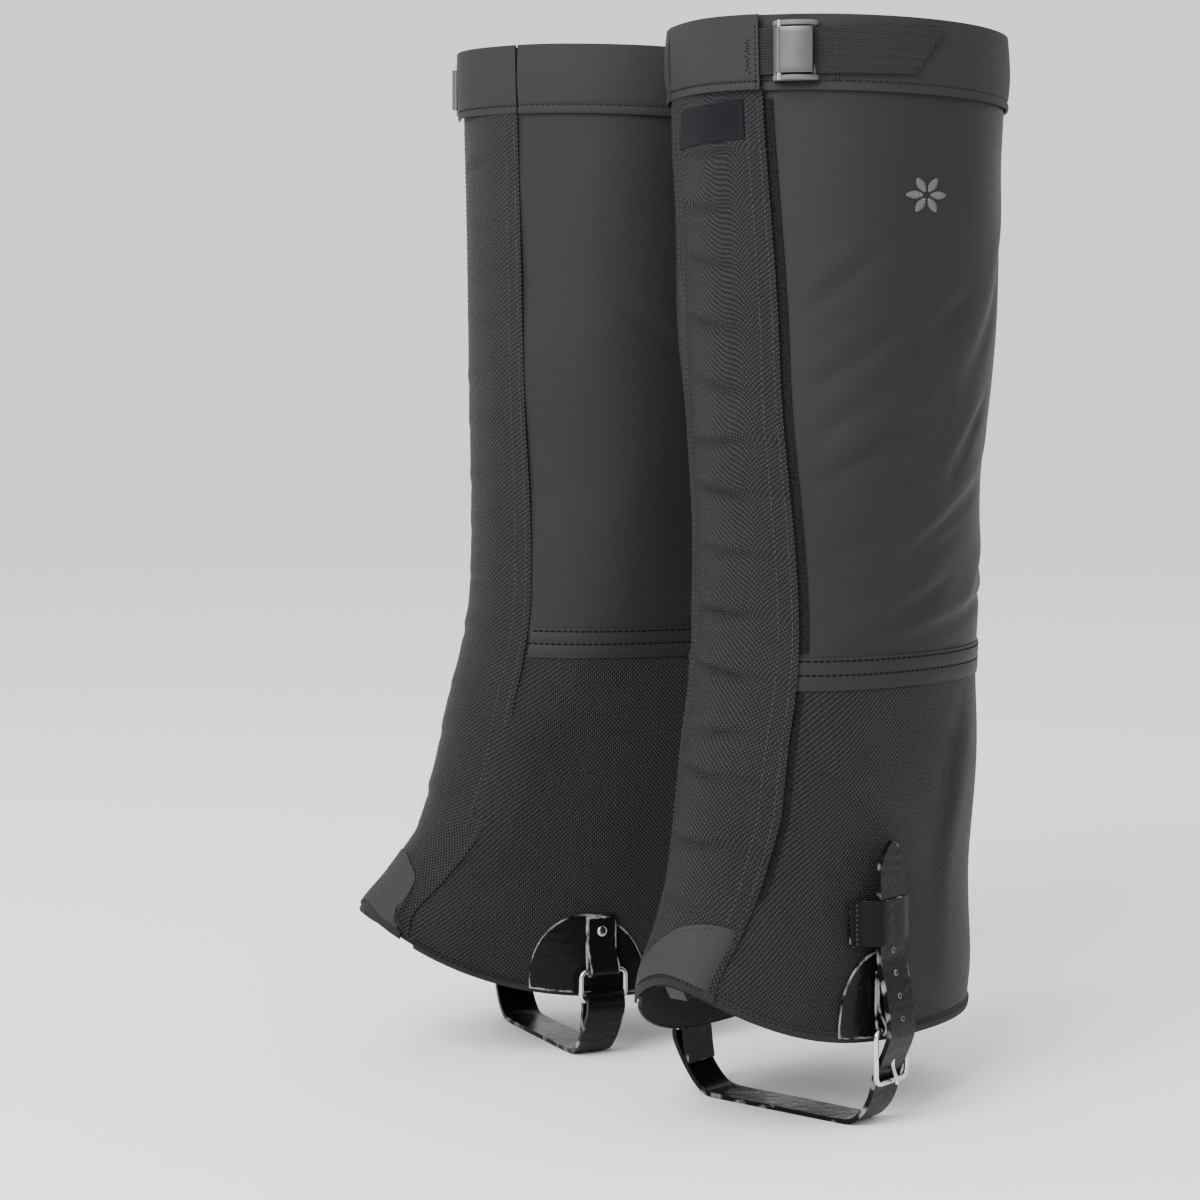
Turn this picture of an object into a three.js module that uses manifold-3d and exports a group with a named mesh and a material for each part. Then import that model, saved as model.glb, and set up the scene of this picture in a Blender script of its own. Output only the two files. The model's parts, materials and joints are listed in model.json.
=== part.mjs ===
// A pair of tall hiking gaiters in the shape they hold when worn.
// Millimetres, +Z up, toes towards -Y, wearer's left gaiter on +X.
// The origin lies midway between the gaiters, level with the underside of the instep straps.
import * as THREE from 'three';
import { mergeVertices } from 'three/addons/utils/BufferGeometryUtils.js';
import Module from 'manifold-3d';

const wasm = await Module();
wasm.setup();

// Stance of the pair
const SPACING = 155;
const TOE_OUT = THREE.MathUtils.degToRad(12.5);
const SIDES = [
  { name: 'left', mirror: 1, creep: 14, toeReach: 0, label: true },
  { name: 'right', mirror: -1, creep: -1.5, toeReach: 9, label: false },
];

// Plan shape of the worn tube at each height: half width, reach forward, reach back
const STATIONS = [
  { z: 30, half: 49, front: 127, back: 74 },
  { z: 68, half: 50, front: 124, back: 75 },
  { z: 85, half: 50.5, front: 112, back: 75 },
  { z: 105, half: 51, front: 101, back: 75 },
  { z: 137, half: 53, front: 91.5, back: 75 },
  { z: 165, half: 54, front: 85, back: 75 },
  { z: 185, half: 54.5, front: 79, back: 75 },
  { z: 212, half: 55.5, front: 73.5, back: 75.5 },
  { z: 256, half: 57, front: 72, back: 76 },
  { z: 312, half: 63, front: 72.5, back: 77 },
  { z: 357, half: 68, front: 72.5, back: 77 },
  { z: 404, half: 71, front: 73, back: 77 },
  { z: 446, half: 73, front: 74, back: 77 },
  { z: 490, half: 74, front: 75, back: 77 },
];

// Heights
const RIM = 474;
const RIM_TILT = 3;
const COLLAR_HEIGHT = 32;
const SEAM = 197;
const HEM_SIDE = 36;
const HEM_TOE_RISE = 32;
const BINDING_HEIGHT = 4;
const SEAM_GAP = 0.5;
const HEM_INNER_DROP = 8;
const TOE_FROM = 105;
const TOE_LENGTH = 37;

// Layers, as distances out from the tube's inner face
const CLOTH = 1;
const TRIM_IN = 1.4;
const TRIM_OUT = 2.4;
const SEAM_TAPE_IN = 2;
const HOOK_TAPE_IN = 2;
const LOOP_TAPE_IN = 3.4;
const TAPE_THICK = 0.9;
const FLAP_IN = 5.4;
const FLAP_COLLAR_IN = 6.4;

// Front flap and its fastening, measured round the leg
const FLAP_HALF = 32;
const FLAP_TOE_HALF = 23;
const FLAP_TAPER_FROM = 110;
const CREEP_FROM = 220;
const UNDERLAP = 24;
const HOOK_TAPE_SHOWS = 3.5;
const LOOP_TAPE_WIDTH = 18;
const EDGE_GAP = 1.4;
const CAM_PAST_EDGE = 11.5;
const STRAP_PAST_EDGE = 61;
const MOTIF_PAST_EDGE = 57;

// Instep strap and its hardware
const STRAP_Y = -36;
const STRAP_WIDTH = 19;
const STRAP_THICK = 2.2;
const STRAP_TIP = 123;
const STRAP_SHOULDER = 110;
const HOLE_PITCH = 9.6;
const HOLE_RADIUS = 1.5;
const BAR = 2.4;
const FRAME_X = 54;
const FRAME_TOP = 43;
const FRAME_DROP = 23;
const RING_TOP = 42;
const RING_DROP = 14;
const FRAME_WIDTH = 25.2;

// Cam buckle at the collar
const WEB_WIDTH = 20;
const WEB_IN = 4.6;
const WEB_THICK = 1.2;
const WEB_Z = 461;
const CAM_LENGTH = 20;
const CAM_BASE_IN = 2.8;
const CAM_BASE_THICK = 0.7;
const CAM_HEIGHT = 7;
const RAIL = 2.2;
const PIN_RADIUS = 0.9;

const CLEAR = 0.3;
const ROUND_SIDES = 16;

const MATERIALS = {
  laminate: { color: 0x2f3133, roughness: 0.75 },
  packcloth: { color: 0x242526, roughness: 0.9 },
  collar: { color: 0x333537, roughness: 0.85 },
  tape: { color: 0x191a1b, roughness: 0.95 },
  toe: { color: 0x4a4c4e, roughness: 0.8 },
  webbing: { color: 0x1e1f21, roughness: 0.85 },
  strap: { color: 0x1f1c1b, roughness: 0.3 },
  patch: { color: 0x1c1b1b, roughness: 0.35 },
  keeper: { color: 0x25252b, roughness: 0.5 },
  chrome: { color: 0xd8d8d8, roughness: 0.12, metalness: 1 },
  plastic: { color: 0x6a6c6e, roughness: 0.5 },
  lever: { color: 0x8b8d8f, roughness: 0.35, metalness: 0.6 },
  label: { color: 0x14151f, roughness: 0.7 },
  thread: { color: 0x77787a, roughness: 0.6 },
};

const finish = Object.fromEntries(
  Object.entries(MATERIALS).map(([key, look]) => [key, new THREE.MeshStandardMaterial(look)]),
);

const lerp = THREE.MathUtils.lerp;
const clamp01 = (value) => THREE.MathUtils.clamp(value, 0, 1);
const rad = THREE.MathUtils.degToRad;

// --- the worn tube as a surface -------------------------------------------------------------

function planAt(z, side) {
  const last = STATIONS.length - 1;
  const above = STATIONS.findIndex((station) => station.z >= z);
  const i = THREE.MathUtils.clamp(above < 0 ? last : above, 1, last);
  const low = STATIONS[i - 1];
  const high = STATIONS[i];
  const t = clamp01((z - low.z) / (high.z - low.z));
  return {
    half: lerp(low.half, high.half, t),
    front: lerp(low.front, high.front, t) + side.toeReach * clamp01((TOE_FROM - z) / TOE_LENGTH),
    back: lerp(low.back, high.back, t),
  };
}

// Angle u runs from the front (0) to the outer side (90) and the heel (180), in radians.
function shell(side, u, z, lift) {
  const plan = planAt(z, side);
  const reach = Math.cos(u) > 0 ? plan.front : plan.back;
  return new THREE.Vector3((plan.half + lift) * Math.sin(u), -(reach + lift) * Math.cos(u), z);
}

const rimAt = (u) => RIM + RIM_TILT * Math.cos(u);
const hemAt = (u) =>
  HEM_SIDE +
  HEM_TOE_RISE * Math.max(0, Math.cos(u)) ** 3 -
  HEM_INNER_DROP * Math.max(0, -Math.sin(u));

// Flap edges: the centre line creeps inwards up the shin, the width narrows at the toe.
function flapEdge(side, z, acrossMm) {
  const creep = -rad(side.creep) * clamp01((z - SEAM) / CREEP_FROM * 2);
  const narrow = clamp01((FLAP_TAPER_FROM - z) / (FLAP_TAPER_FROM - HEM_SIDE - HEM_TOE_RISE));
  const scale = lerp(1, FLAP_TOE_HALF / FLAP_HALF, narrow);
  return creep + (acrossMm * scale) / planAt(z, side).half;
}

const sewnEdge = (side) => (z) => flapEdge(side, z, -FLAP_HALF);
const freeEdge = (side) => (z) => flapEdge(side, z, FLAP_HALF);
const fromFreeEdge = (side, mm) => (z) => freeEdge(side)(z) + mm / planAt(z, side).half;

// --- geometry helpers -----------------------------------------------------------------------

function welded(geometry) {
  const bare = geometry.clone();
  bare.deleteAttribute('normal');
  bare.deleteAttribute('uv');
  return mergeVertices(bare, 1e-4);
}

function solid(geometry) {
  const closed = welded(geometry);
  return new wasm.Manifold(
    new wasm.Mesh({
      numProp: 3,
      vertProperties: new Float32Array(closed.attributes.position.array),
      triVerts: new Uint32Array(closed.index.array),
    }),
  );
}

function fromSolid(manifold) {
  const mesh = manifold.getMesh();
  const geometry = new THREE.BufferGeometry();
  geometry.setAttribute('position', new THREE.BufferAttribute(mesh.vertProperties, 3));
  geometry.setIndex(new THREE.BufferAttribute(mesh.triVerts, 1));
  return geometry;
}

function combine(base, { add = [], cut = [] }) {
  const joined = add.reduce((total, geometry) => total.add(solid(geometry)), solid(base));
  return fromSolid(cut.reduce((total, geometry) => total.subtract(solid(geometry)), joined));
}

// A plate laid on the tube. from and to give its side edges by height, low and high its ends by
// angle, inner and outer its faces by the fraction across it.
function bentPlate(side, { from, to, low, high, inner, outer, across, along }) {
  const geometry = new THREE.BoxGeometry(1, 1, 1, across, along, 1);
  const position = geometry.attributes.position;
  for (let i = 0; i < position.count; i++) {
    const a = position.getX(i) + 0.5;
    const b = position.getY(i) + 0.5;
    const c = position.getZ(i) + 0.5;
    const guess = lerp(low(0), high(0), b);
    const roughly = lerp(from(guess), to(guess), a);
    const z = lerp(low(roughly), high(roughly), b);
    const u = lerp(from(z), to(z), a);
    const point = shell(side, u, z, lerp(inner(a, b), outer(a, b), c));
    position.setXYZ(i, point.x, point.y, point.z);
  }
  return welded(geometry);
}

const always = (value) => () => value;

// A cloth band that wraps the leg from the flap's sewn edge round to the underlap.
function wrap(side, { low, high, inner, outer, along }) {
  const round = fromFreeEdge(side, -UNDERLAP);
  return bentPlate(side, {
    from: round,
    to: (z) => sewnEdge(side)(z) + 2 * Math.PI - EDGE_GAP / planAt(z, side).half,
    low,
    high,
    inner: always(inner),
    outer: always(outer),
    across: 26,
    along,
  });
}

// The outline of a strip of even thickness that follows a bent line.
function ribbonShape(points, thickness) {
  const side = (sign) =>
    points.map((point, i) => {
      const before = points[Math.max(i - 1, 0)];
      const after = points[Math.min(i + 1, points.length - 1)];
      const inDir = new THREE.Vector2().subVectors(point, before).normalize();
      const outDir = new THREE.Vector2().subVectors(after, point).normalize();
      if (i === 0) inDir.copy(outDir);
      if (i === points.length - 1) outDir.copy(inDir);
      const mid = inDir.clone().add(outDir).normalize();
      const reach = (sign * thickness) / 2 / mid.dot(inDir);
      return new THREE.Vector2(point.x - mid.y * reach, point.y + mid.x * reach);
    });
  return new THREE.Shape([...side(1), ...side(-1).reverse()]);
}

// Extrudes a shape drawn in the X-Z plane by a width along Y, centred on y.
function acrossY(shape, width, y) {
  const geometry = new THREE.ExtrudeGeometry(shape, { depth: width, bevelEnabled: false });
  geometry.rotateX(Math.PI / 2);
  geometry.translate(0, y + width / 2, 0);
  return geometry;
}

function block(sizeX, sizeY, sizeZ, x, y, z) {
  return new THREE.BoxGeometry(sizeX, sizeY, sizeZ).translate(x, y, z);
}

function rodAlongY(radius, length, x, y, z) {
  return new THREE.CylinderGeometry(radius, radius, length, ROUND_SIDES).translate(x, y, z);
}

function rodAlongX(radius, length, x, y, z) {
  const rod = new THREE.CylinderGeometry(radius, radius, length, ROUND_SIDES);
  return rod.rotateZ(Math.PI / 2).translate(x, y, z);
}

function rodAlongZ(radius, length, x, y, z) {
  const rod = new THREE.CylinderGeometry(radius, radius, length, ROUND_SIDES);
  return rod.rotateX(Math.PI / 2).translate(x, y, z);
}

// --- cloth ----------------------------------------------------------------------------------

function upperPanel(side) {
  const high = (u) => rimAt(u) - 1;
  return wrap(side, { low: always(SEAM), high, inner: 0, outer: CLOTH, along: 6 });
}

function lowerPanel(side) {
  const low = (u) => hemAt(u) + BINDING_HEIGHT + SEAM_GAP;
  return wrap(side, { low, high: always(SEAM - SEAM_GAP), inner: 0, outer: CLOTH, along: 6 });
}

function seamTape(side) {
  const band = { low: always(SEAM - 9), high: always(SEAM + 5) };
  return wrap(side, { ...band, inner: SEAM_TAPE_IN, outer: SEAM_TAPE_IN + 0.8, along: 2 });
}

function collar(side) {
  const low = (u) => rimAt(u) - COLLAR_HEIGHT;
  return wrap(side, { low, high: rimAt, inner: TRIM_IN, outer: TRIM_OUT, along: 1 });
}

function hemBinding(side) {
  const high = (u) => hemAt(u) + BINDING_HEIGHT;
  return wrap(side, { low: hemAt, high, inner: 0, outer: CLOTH + 0.6, along: 1 });
}

function hookTape(side) {
  return bentPlate(side, {
    from: fromFreeEdge(side, -UNDERLAP + 3),
    to: fromFreeEdge(side, HOOK_TAPE_SHOWS),
    low: always(SEAM + 7),
    high: always(RIM - COLLAR_HEIGHT - 5),
    inner: always(HOOK_TAPE_IN),
    outer: always(HOOK_TAPE_IN + TAPE_THICK),
    across: 4,
    along: 8,
  });
}

function loopTape(side) {
  return bentPlate(side, {
    from: fromFreeEdge(side, -LOOP_TAPE_WIDTH - 1),
    to: fromFreeEdge(side, -1),
    low: always(SEAM + 7),
    high: always(RIM - COLLAR_HEIGHT - 5),
    inner: always(LOOP_TAPE_IN),
    outer: always(LOOP_TAPE_IN + TAPE_THICK),
    across: 4,
    along: 8,
  });
}

// The flap lies flush with the panel at its sewn edge and climbs over the fastening tapes.
const climb = (top) => (a) => lerp(0.2, top, clamp01(a / 0.55));

function flapPiece(side, { low, high, rise, thick, along }) {
  return bentPlate(side, {
    from: sewnEdge(side),
    to: freeEdge(side),
    low,
    high,
    inner: climb(rise),
    outer: (a) => climb(rise)(a) + thick,
    across: 8,
    along,
  });
}

function frontFlap(side) {
  const low = (u) => hemAt(u) + BINDING_HEIGHT;
  const high = (u) => rimAt(u) - COLLAR_HEIGHT - SEAM_GAP;
  return flapPiece(side, { low, high, rise: FLAP_IN, thick: CLOTH, along: 13 });
}

function flapCollar(side) {
  const low = (u) => rimAt(u) - COLLAR_HEIGHT;
  return flapPiece(side, { low, high: rimAt, rise: FLAP_COLLAR_IN, thick: CLOTH + 0.2, along: 2 });
}

function toePatch(side) {
  const low = (u) => hemAt(u) + BINDING_HEIGHT + 2;
  return bentPlate(side, {
    from: (z) => flapEdge(side, z, -FLAP_HALF + 5),
    to: freeEdge(side),
    low,
    high: (u) => low(u) + 8 + 14 * clamp01(0.5 + u / rad(60)),
    inner: (a) => climb(FLAP_IN)(lerp(0.1, 1, a)) + CLOTH + 1,
    outer: (a) => climb(FLAP_IN)(lerp(0.1, 1, a)) + CLOTH + 1.9,
    across: 8,
    along: 2,
  });
}

function wovenLabel(side) {
  return bentPlate(side, {
    from: (z) => flapEdge(side, z, -FLAP_HALF + 10),
    to: (z) => flapEdge(side, z, FLAP_HALF - 14),
    low: always(421),
    high: always(438),
    inner: (a) => climb(FLAP_IN)(lerp(0.16, 0.78, a)) + CLOTH + 0.5,
    outer: (a) => climb(FLAP_IN)(lerp(0.16, 0.78, a)) + CLOTH + 1,
    across: 6,
    along: 1,
  });
}

function embroidery(side) {
  const centre = freeEdge(side)(WEB_Z) + rad(MOTIF_PAST_EDGE);
  return bentPlate(side, {
    from: always(centre - rad(9)),
    to: always(centre + rad(9)),
    low: always(392),
    high: always(408),
    inner: always(TRIM_IN),
    outer: always(TRIM_IN + 0.8),
    across: 3,
    along: 1,
  });
}

// A half-moon reinforcement patch on one side of the hem; facing is 1 outside and -1 inside.
function sidePatch(side, facing) {
  const centre = facing * rad(72);
  const halfAngle = rad(12.5);
  const low = (u) => hemAt(u) + BINDING_HEIGHT + 1.5;
  const arch = (u) => Math.sqrt(Math.max(0, 1 - ((u - centre) / halfAngle) ** 2));
  return bentPlate(side, {
    from: always(centre - halfAngle),
    to: always(centre + halfAngle),
    low,
    high: (u) => low(u) + 4 + 31 * arch(u),
    inner: always(TRIM_IN),
    outer: always(TRIM_OUT),
    across: 10,
    along: 2,
  });
}

// --- instep strap and its hardware ----------------------------------------------------------

function strapLine() {
  const points = [
    [-54, 24.2],
    [-52.6, 19],
    [-48.5, 10],
    [-41, 2.8],
    [-34, 1.1],
    [34, 1.1],
    [41, 2.8],
    [47.6, 10],
    [51.1, 19],
    [51.5, 22.4],
    [58.6, 39],
    [59.2, 45],
    [57.6, 56],
    [54.3, 72],
    [54.1, 78],
    [54.1, STRAP_TIP],
  ];
  return points.map(([x, z]) => new THREE.Vector2(x, z));
}

function strapHoles() {
  const lowest = 66.5;
  const rows = [lowest + HOLE_PITCH, lowest];
  const upper = rows.map((z) => rodAlongX(HOLE_RADIUS, 12, 55, STRAP_Y, z));
  const lean = Math.atan2(-7.1, 16.6);
  const slot = block(12, 3.6, 18, 0, 0, 0).rotateY(-lean).translate(55, STRAP_Y, 32);
  const bulge = rodAlongX(HOLE_RADIUS, 12, 58, STRAP_Y, 54);
  return [...upper, bulge, slot];
}

function pointedTip() {
  const rise = STRAP_TIP - STRAP_SHOULDER;
  const lean = Math.atan2(STRAP_WIDTH / 2, rise);
  return [-1, 1].map((end) => {
    const wedge = block(8, STRAP_WIDTH, 4 * rise, 0, 0, 0);
    wedge.translate(0, (end * STRAP_WIDTH) / 2, 0).rotateX(end * lean);
    return wedge.translate(54, STRAP_Y + (end * STRAP_WIDTH) / 2, STRAP_SHOULDER);
  });
}

function instepStrap() {
  const ribbon = acrossY(ribbonShape(strapLine(), STRAP_THICK), STRAP_WIDTH, STRAP_Y);
  const ringZ = RING_TOP - RING_DROP;
  const eye = rodAlongY(4, STRAP_WIDTH, -FRAME_X, STRAP_Y, ringZ);
  const bore = rodAlongY(1.9, STRAP_WIDTH + 2, -FRAME_X, STRAP_Y, ringZ);
  return combine(ribbon, { add: [eye], cut: [bore, ...strapHoles(), ...pointedTip()] });
}

// A closed wire frame, drawn flat and stood up in the Y-Z plane at x.
function wireFrame(x, top, drop, width) {
  const outline = (w, h, radius, path) => {
    path.moveTo(-w / 2 + radius, -h / 2);
    path.lineTo(w / 2 - radius, -h / 2);
    path.absarc(w / 2 - radius, -h / 2 + radius, radius, -Math.PI / 2, 0);
    path.lineTo(w / 2, h / 2 - radius);
    path.absarc(w / 2 - radius, h / 2 - radius, radius, 0, Math.PI / 2);
    path.lineTo(-w / 2 + radius, h / 2);
    path.absarc(-w / 2 + radius, h / 2 - radius, radius, Math.PI / 2, Math.PI);
    path.lineTo(-w / 2, -h / 2 + radius);
    path.absarc(-w / 2 + radius, -h / 2 + radius, radius, Math.PI, 1.5 * Math.PI);
    return path;
  };
  const bevel = 0.6;
  const outer = outline(width - 2 * bevel, drop + BAR - 2 * bevel, 3, new THREE.Shape());
  const grow = 2 * (BAR - bevel);
  outer.holes.push(outline(width - grow, drop + BAR - grow, 1.4, new THREE.Path()));
  const geometry = new THREE.ExtrudeGeometry(outer, {
    depth: BAR - 2 * bevel,
    bevelThickness: bevel,
    bevelSize: bevel,
    bevelSegments: 1,
    curveSegments: 3,
  });
  geometry.translate(0, 0, -BAR / 2 + bevel);
  geometry.rotateX(Math.PI / 2).rotateZ(Math.PI / 2);
  return welded(geometry.translate(x, STRAP_Y, top - drop / 2));
}

// A folded leather tab: a strip lying on the patch that loops round a wire bar below it.
function foldedTab(x, top, width, slotWidth) {
  const bore = BAR / 2 + 0.5;
  const loop = rodAlongY(bore + 1.2, width, x, STRAP_Y, top);
  const hole = rodAlongY(bore, width + 2, x, STRAP_Y, top);
  const strip = block(1.3, width, 24, x - Math.sign(x) * 2, STRAP_Y, top + 12.5);
  const slot = block(12, slotWidth, 14, x, STRAP_Y, top);
  return combine(loop, { add: [strip], cut: slotWidth ? [hole, slot] : [hole] });
}

function buckleProng() {
  const eye = rodAlongY(BAR / 2 + 1.3, 2.4, FRAME_X, STRAP_Y, FRAME_TOP);
  const hole = rodAlongY(BAR / 2 + 0.35, 4, FRAME_X, STRAP_Y, FRAME_TOP);
  const finger = [
    [55.9, 42],
    [55.2, 34],
    [54.4, 26],
    [56.6, 22],
    [56.9, 18.6],
  ].map(([x, z]) => new THREE.Vector2(x, z));
  return combine(eye, { add: [acrossY(ribbonShape(finger, 1.8), 2.2, STRAP_Y)], cut: [hole] });
}

function rivet(x, z, radius) {
  return rodAlongX(radius, 1, x, STRAP_Y, z);
}

// The strap keeper: a stitched band that bridges the strap and lies on the panel at both ends.
function keeper() {
  const bridge = [
    [52.2, -17],
    [52.6, -22],
    [56.2, -25.5],
    [56.2, -46.5],
    [49.6, -50],
    [47.6, -54],
  ].map(([x, y]) => new THREE.Vector2(x, y));
  const geometry = new THREE.ExtrudeGeometry(ribbonShape(bridge, 1), {
    depth: 19.5,
    bevelEnabled: false,
  });
  return geometry.translate(0, 0, 79);
}

function laceHook() {
  const line = [
    [-104.5, 89],
    [-109.5, 81],
    [-115, 72],
    [-117.5, 66],
    [-114.5, 61.5],
    [-109, 63],
  ].map(([y, z]) => new THREE.Vector2(y, z));
  const geometry = acrossY(ribbonShape(line, 1.6), 9, 0);
  return geometry.rotateZ(Math.PI / 2);
}

// --- cam buckle -----------------------------------------------------------------------------
// Drawn flat with X along the strap, Y outwards from the collar and Z up, then set on the tube.

const PIN_X = -6;
const PIN_Y = WEB_IN + WEB_THICK + 0.4 + PIN_RADIUS + 1.2 - CAM_BASE_IN;

function camBody() {
  const railZ = (WEB_WIDTH + RAIL) / 2 + 0.5;
  const base = block(CAM_LENGTH, CAM_BASE_THICK, 2 * railZ + RAIL, 0, CAM_BASE_THICK / 2, 0);
  const rails = [-1, 1].map((end) => {
    const outline = new THREE.Shape();
    outline.absellipse(0, 0, CAM_LENGTH / 2, CAM_HEIGHT, 0, Math.PI);
    const rail = new THREE.ExtrudeGeometry(outline, {
      depth: RAIL,
      bevelEnabled: false,
      curveSegments: 10,
    });
    return rail.translate(0, 0, end * railZ - RAIL / 2);
  });
  const bore = rodAlongZ(PIN_RADIUS + CLEAR, 40, PIN_X, PIN_Y, 0);
  return combine(base, { add: rails, cut: [bore] });
}

function camPin() {
  return rodAlongZ(PIN_RADIUS, WEB_WIDTH + 2 * RAIL + 1, PIN_X, PIN_Y, 0);
}

function camLever() {
  const height = WEB_WIDTH - 0.2;
  const barrel = rodAlongZ(PIN_RADIUS + 1.2, height, PIN_X, PIN_Y, 0);
  const plate = block(14, 1.8, height, PIN_X + 7, PIN_Y - 0.2, 0);
  const bore = rodAlongZ(PIN_RADIUS + CLEAR, 40, PIN_X, PIN_Y, 0);
  return combine(barrel, { add: [plate], cut: [bore] });
}

// The adjusting strap: webbing that runs under the flap, through the buckle and along the collar.
function topStrap(side) {
  const low = WEB_Z - WEB_WIDTH / 2;
  return bentPlate(side, {
    from: fromFreeEdge(side, -9),
    to: (z) => freeEdge(side)(WEB_Z) + rad(STRAP_PAST_EDGE - 8 * (1 - (z - low) / WEB_WIDTH)),
    low: always(low),
    high: always(low + WEB_WIDTH),
    inner: always(WEB_IN),
    outer: always(WEB_IN + WEB_THICK),
    across: 12,
    along: 1,
  });
}

// Stands flat hardware on the collar at an angle round the leg.
function onCollar(side, geometry) {
  const u = freeEdge(side)(WEB_Z) + rad(CAM_PAST_EDGE);
  const along = new THREE.Vector3(Math.cos(u), Math.sin(u), 0);
  const out = new THREE.Vector3(Math.sin(u), -Math.cos(u), 0);
  const down = new THREE.Vector3(0, 0, -1);
  const seat = new THREE.Matrix4().makeBasis(along, out, down);
  return geometry.applyMatrix4(seat.setPosition(shell(side, u, WEB_Z, CAM_BASE_IN)));
}

// --- assembly -------------------------------------------------------------------------------

function pieces(side) {
  const list = [
    ['upper_panel', upperPanel(side), 'laminate'],
    ['lower_panel', lowerPanel(side), 'packcloth'],
    ['seam_tape', seamTape(side), 'laminate'],
    ['collar', collar(side), 'collar'],
    ['hem_binding', hemBinding(side), 'tape'],
    ['hook_tape', hookTape(side), 'tape'],
    ['loop_tape', loopTape(side), 'tape'],
    ['front_flap', frontFlap(side), 'packcloth'],
    ['flap_collar', flapCollar(side), 'collar'],
    ['toe_patch', toePatch(side), 'toe'],
    ['lace_hook', laceHook(), 'chrome'],
    ['outer_patch', sidePatch(side, 1), 'patch'],
    ['inner_patch', sidePatch(side, -1), 'patch'],
    ['embroidery', embroidery(side), 'thread'],
    ['instep_strap', instepStrap(), 'strap'],
    ['strap_keeper', keeper(), 'keeper'],
    ['buckle_tab', foldedTab(FRAME_X, FRAME_TOP, 15, 4), 'patch'],
    ['buckle_frame', wireFrame(FRAME_X, FRAME_TOP, FRAME_DROP, FRAME_WIDTH), 'chrome'],
    ['buckle_prong', buckleProng(), 'chrome'],
    ['tab_rivet', rivet(FRAME_X - 0.5, 60, 2.4), 'chrome'],
    ['ring_tab', foldedTab(-FRAME_X, RING_TOP, 15, 0), 'patch'],
    ['strap_ring', wireFrame(-FRAME_X, RING_TOP, RING_DROP, FRAME_WIDTH), 'chrome'],
    ['ring_rivet', rivet(-FRAME_X + 0.5, 60, 2.4), 'chrome'],
    ['cam_body', onCollar(side, camBody()), 'plastic'],
    ['cam_pin', onCollar(side, camPin()), 'chrome'],
    ['cam_lever', onCollar(side, camLever()), 'lever'],
    ['top_strap', topStrap(side), 'webbing'],
  ];
  if (side.label) list.push(['woven_label', wovenLabel(side), 'label']);
  return list;
}

// Mirrors a closed geometry left to right and turns its faces outwards again.
function mirrored(geometry) {
  const flipped = welded(geometry);
  flipped.scale(-1, 1, 1);
  const index = flipped.index;
  for (let i = 0; i < index.count; i += 3) {
    const first = index.getX(i);
    index.setX(i, index.getX(i + 1));
    index.setX(i + 1, first);
  }
  return flipped;
}

function gaiter(side) {
  const group = new THREE.Group();
  for (const [name, geometry, look] of pieces(side)) {
    const shape = side.mirror < 0 ? mirrored(geometry) : welded(geometry);
    const mesh = new THREE.Mesh(shape, finish[look]);
    mesh.name = `${side.name}_${name}`;
    group.add(mesh);
  }
  group.position.x = (side.mirror * SPACING) / 2;
  group.rotation.z = side.mirror * TOE_OUT;
  return group;
}

const group = new THREE.Group();
for (const side of SIDES) group.add(gaiter(side));

export default group;
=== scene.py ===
"""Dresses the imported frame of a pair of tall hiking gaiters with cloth, straps and hardware."""

import json
import math
import random

import bmesh
import bpy
from bpy.props import FloatProperty, FloatVectorProperty, PointerProperty
from mathutils import Matrix, Vector, noise


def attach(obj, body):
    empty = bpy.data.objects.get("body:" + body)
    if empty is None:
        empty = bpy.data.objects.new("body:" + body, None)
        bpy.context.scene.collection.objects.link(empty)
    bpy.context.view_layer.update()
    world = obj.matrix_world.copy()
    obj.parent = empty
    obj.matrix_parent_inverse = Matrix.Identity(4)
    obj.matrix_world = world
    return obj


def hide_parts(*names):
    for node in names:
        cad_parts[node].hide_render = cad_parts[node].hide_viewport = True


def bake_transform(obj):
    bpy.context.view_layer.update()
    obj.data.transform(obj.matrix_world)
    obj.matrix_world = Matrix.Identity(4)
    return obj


bl_info = {
    "name": "Hiking Gaiters",
    "version": (1, 0, 0),
    "blender": (4, 5, 0),
    "location": "View3D > Sidebar > Gaiters",
    "description": "Cloth, straps and hardware for a pair of tall hiking gaiters",
    "category": "Object",
}

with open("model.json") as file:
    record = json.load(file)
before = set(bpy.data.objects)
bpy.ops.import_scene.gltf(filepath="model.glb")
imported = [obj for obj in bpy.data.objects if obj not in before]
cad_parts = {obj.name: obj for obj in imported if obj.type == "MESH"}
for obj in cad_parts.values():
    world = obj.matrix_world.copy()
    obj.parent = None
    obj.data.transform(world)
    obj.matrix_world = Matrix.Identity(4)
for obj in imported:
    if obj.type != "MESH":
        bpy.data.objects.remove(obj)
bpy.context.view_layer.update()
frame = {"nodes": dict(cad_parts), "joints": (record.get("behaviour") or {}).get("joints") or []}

MM = 0.001

# Columns of a sheet that goes right round the leg
ROUND = 190

# Stance of the pair, in millimetres and radians
SPACING = 155
TOE_OUT = math.radians(12.5)

# Plan shape of the worn tube: height, half width, reach forward, reach back
STATIONS = (
    (30, 49, 127, 74),
    (68, 50, 124, 75),
    (85, 50.5, 112, 75),
    (105, 51, 101, 75),
    (137, 53, 91.5, 75),
    (165, 54, 85, 75),
    (185, 54.5, 79, 75),
    (212, 55.5, 73.5, 75.5),
    (256, 57, 72, 76),
    (312, 63, 72.5, 77),
    (357, 68, 72.5, 77),
    (404, 71, 73, 77),
    (446, 73, 74, 77),
    (490, 74, 75, 77),
)

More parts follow.
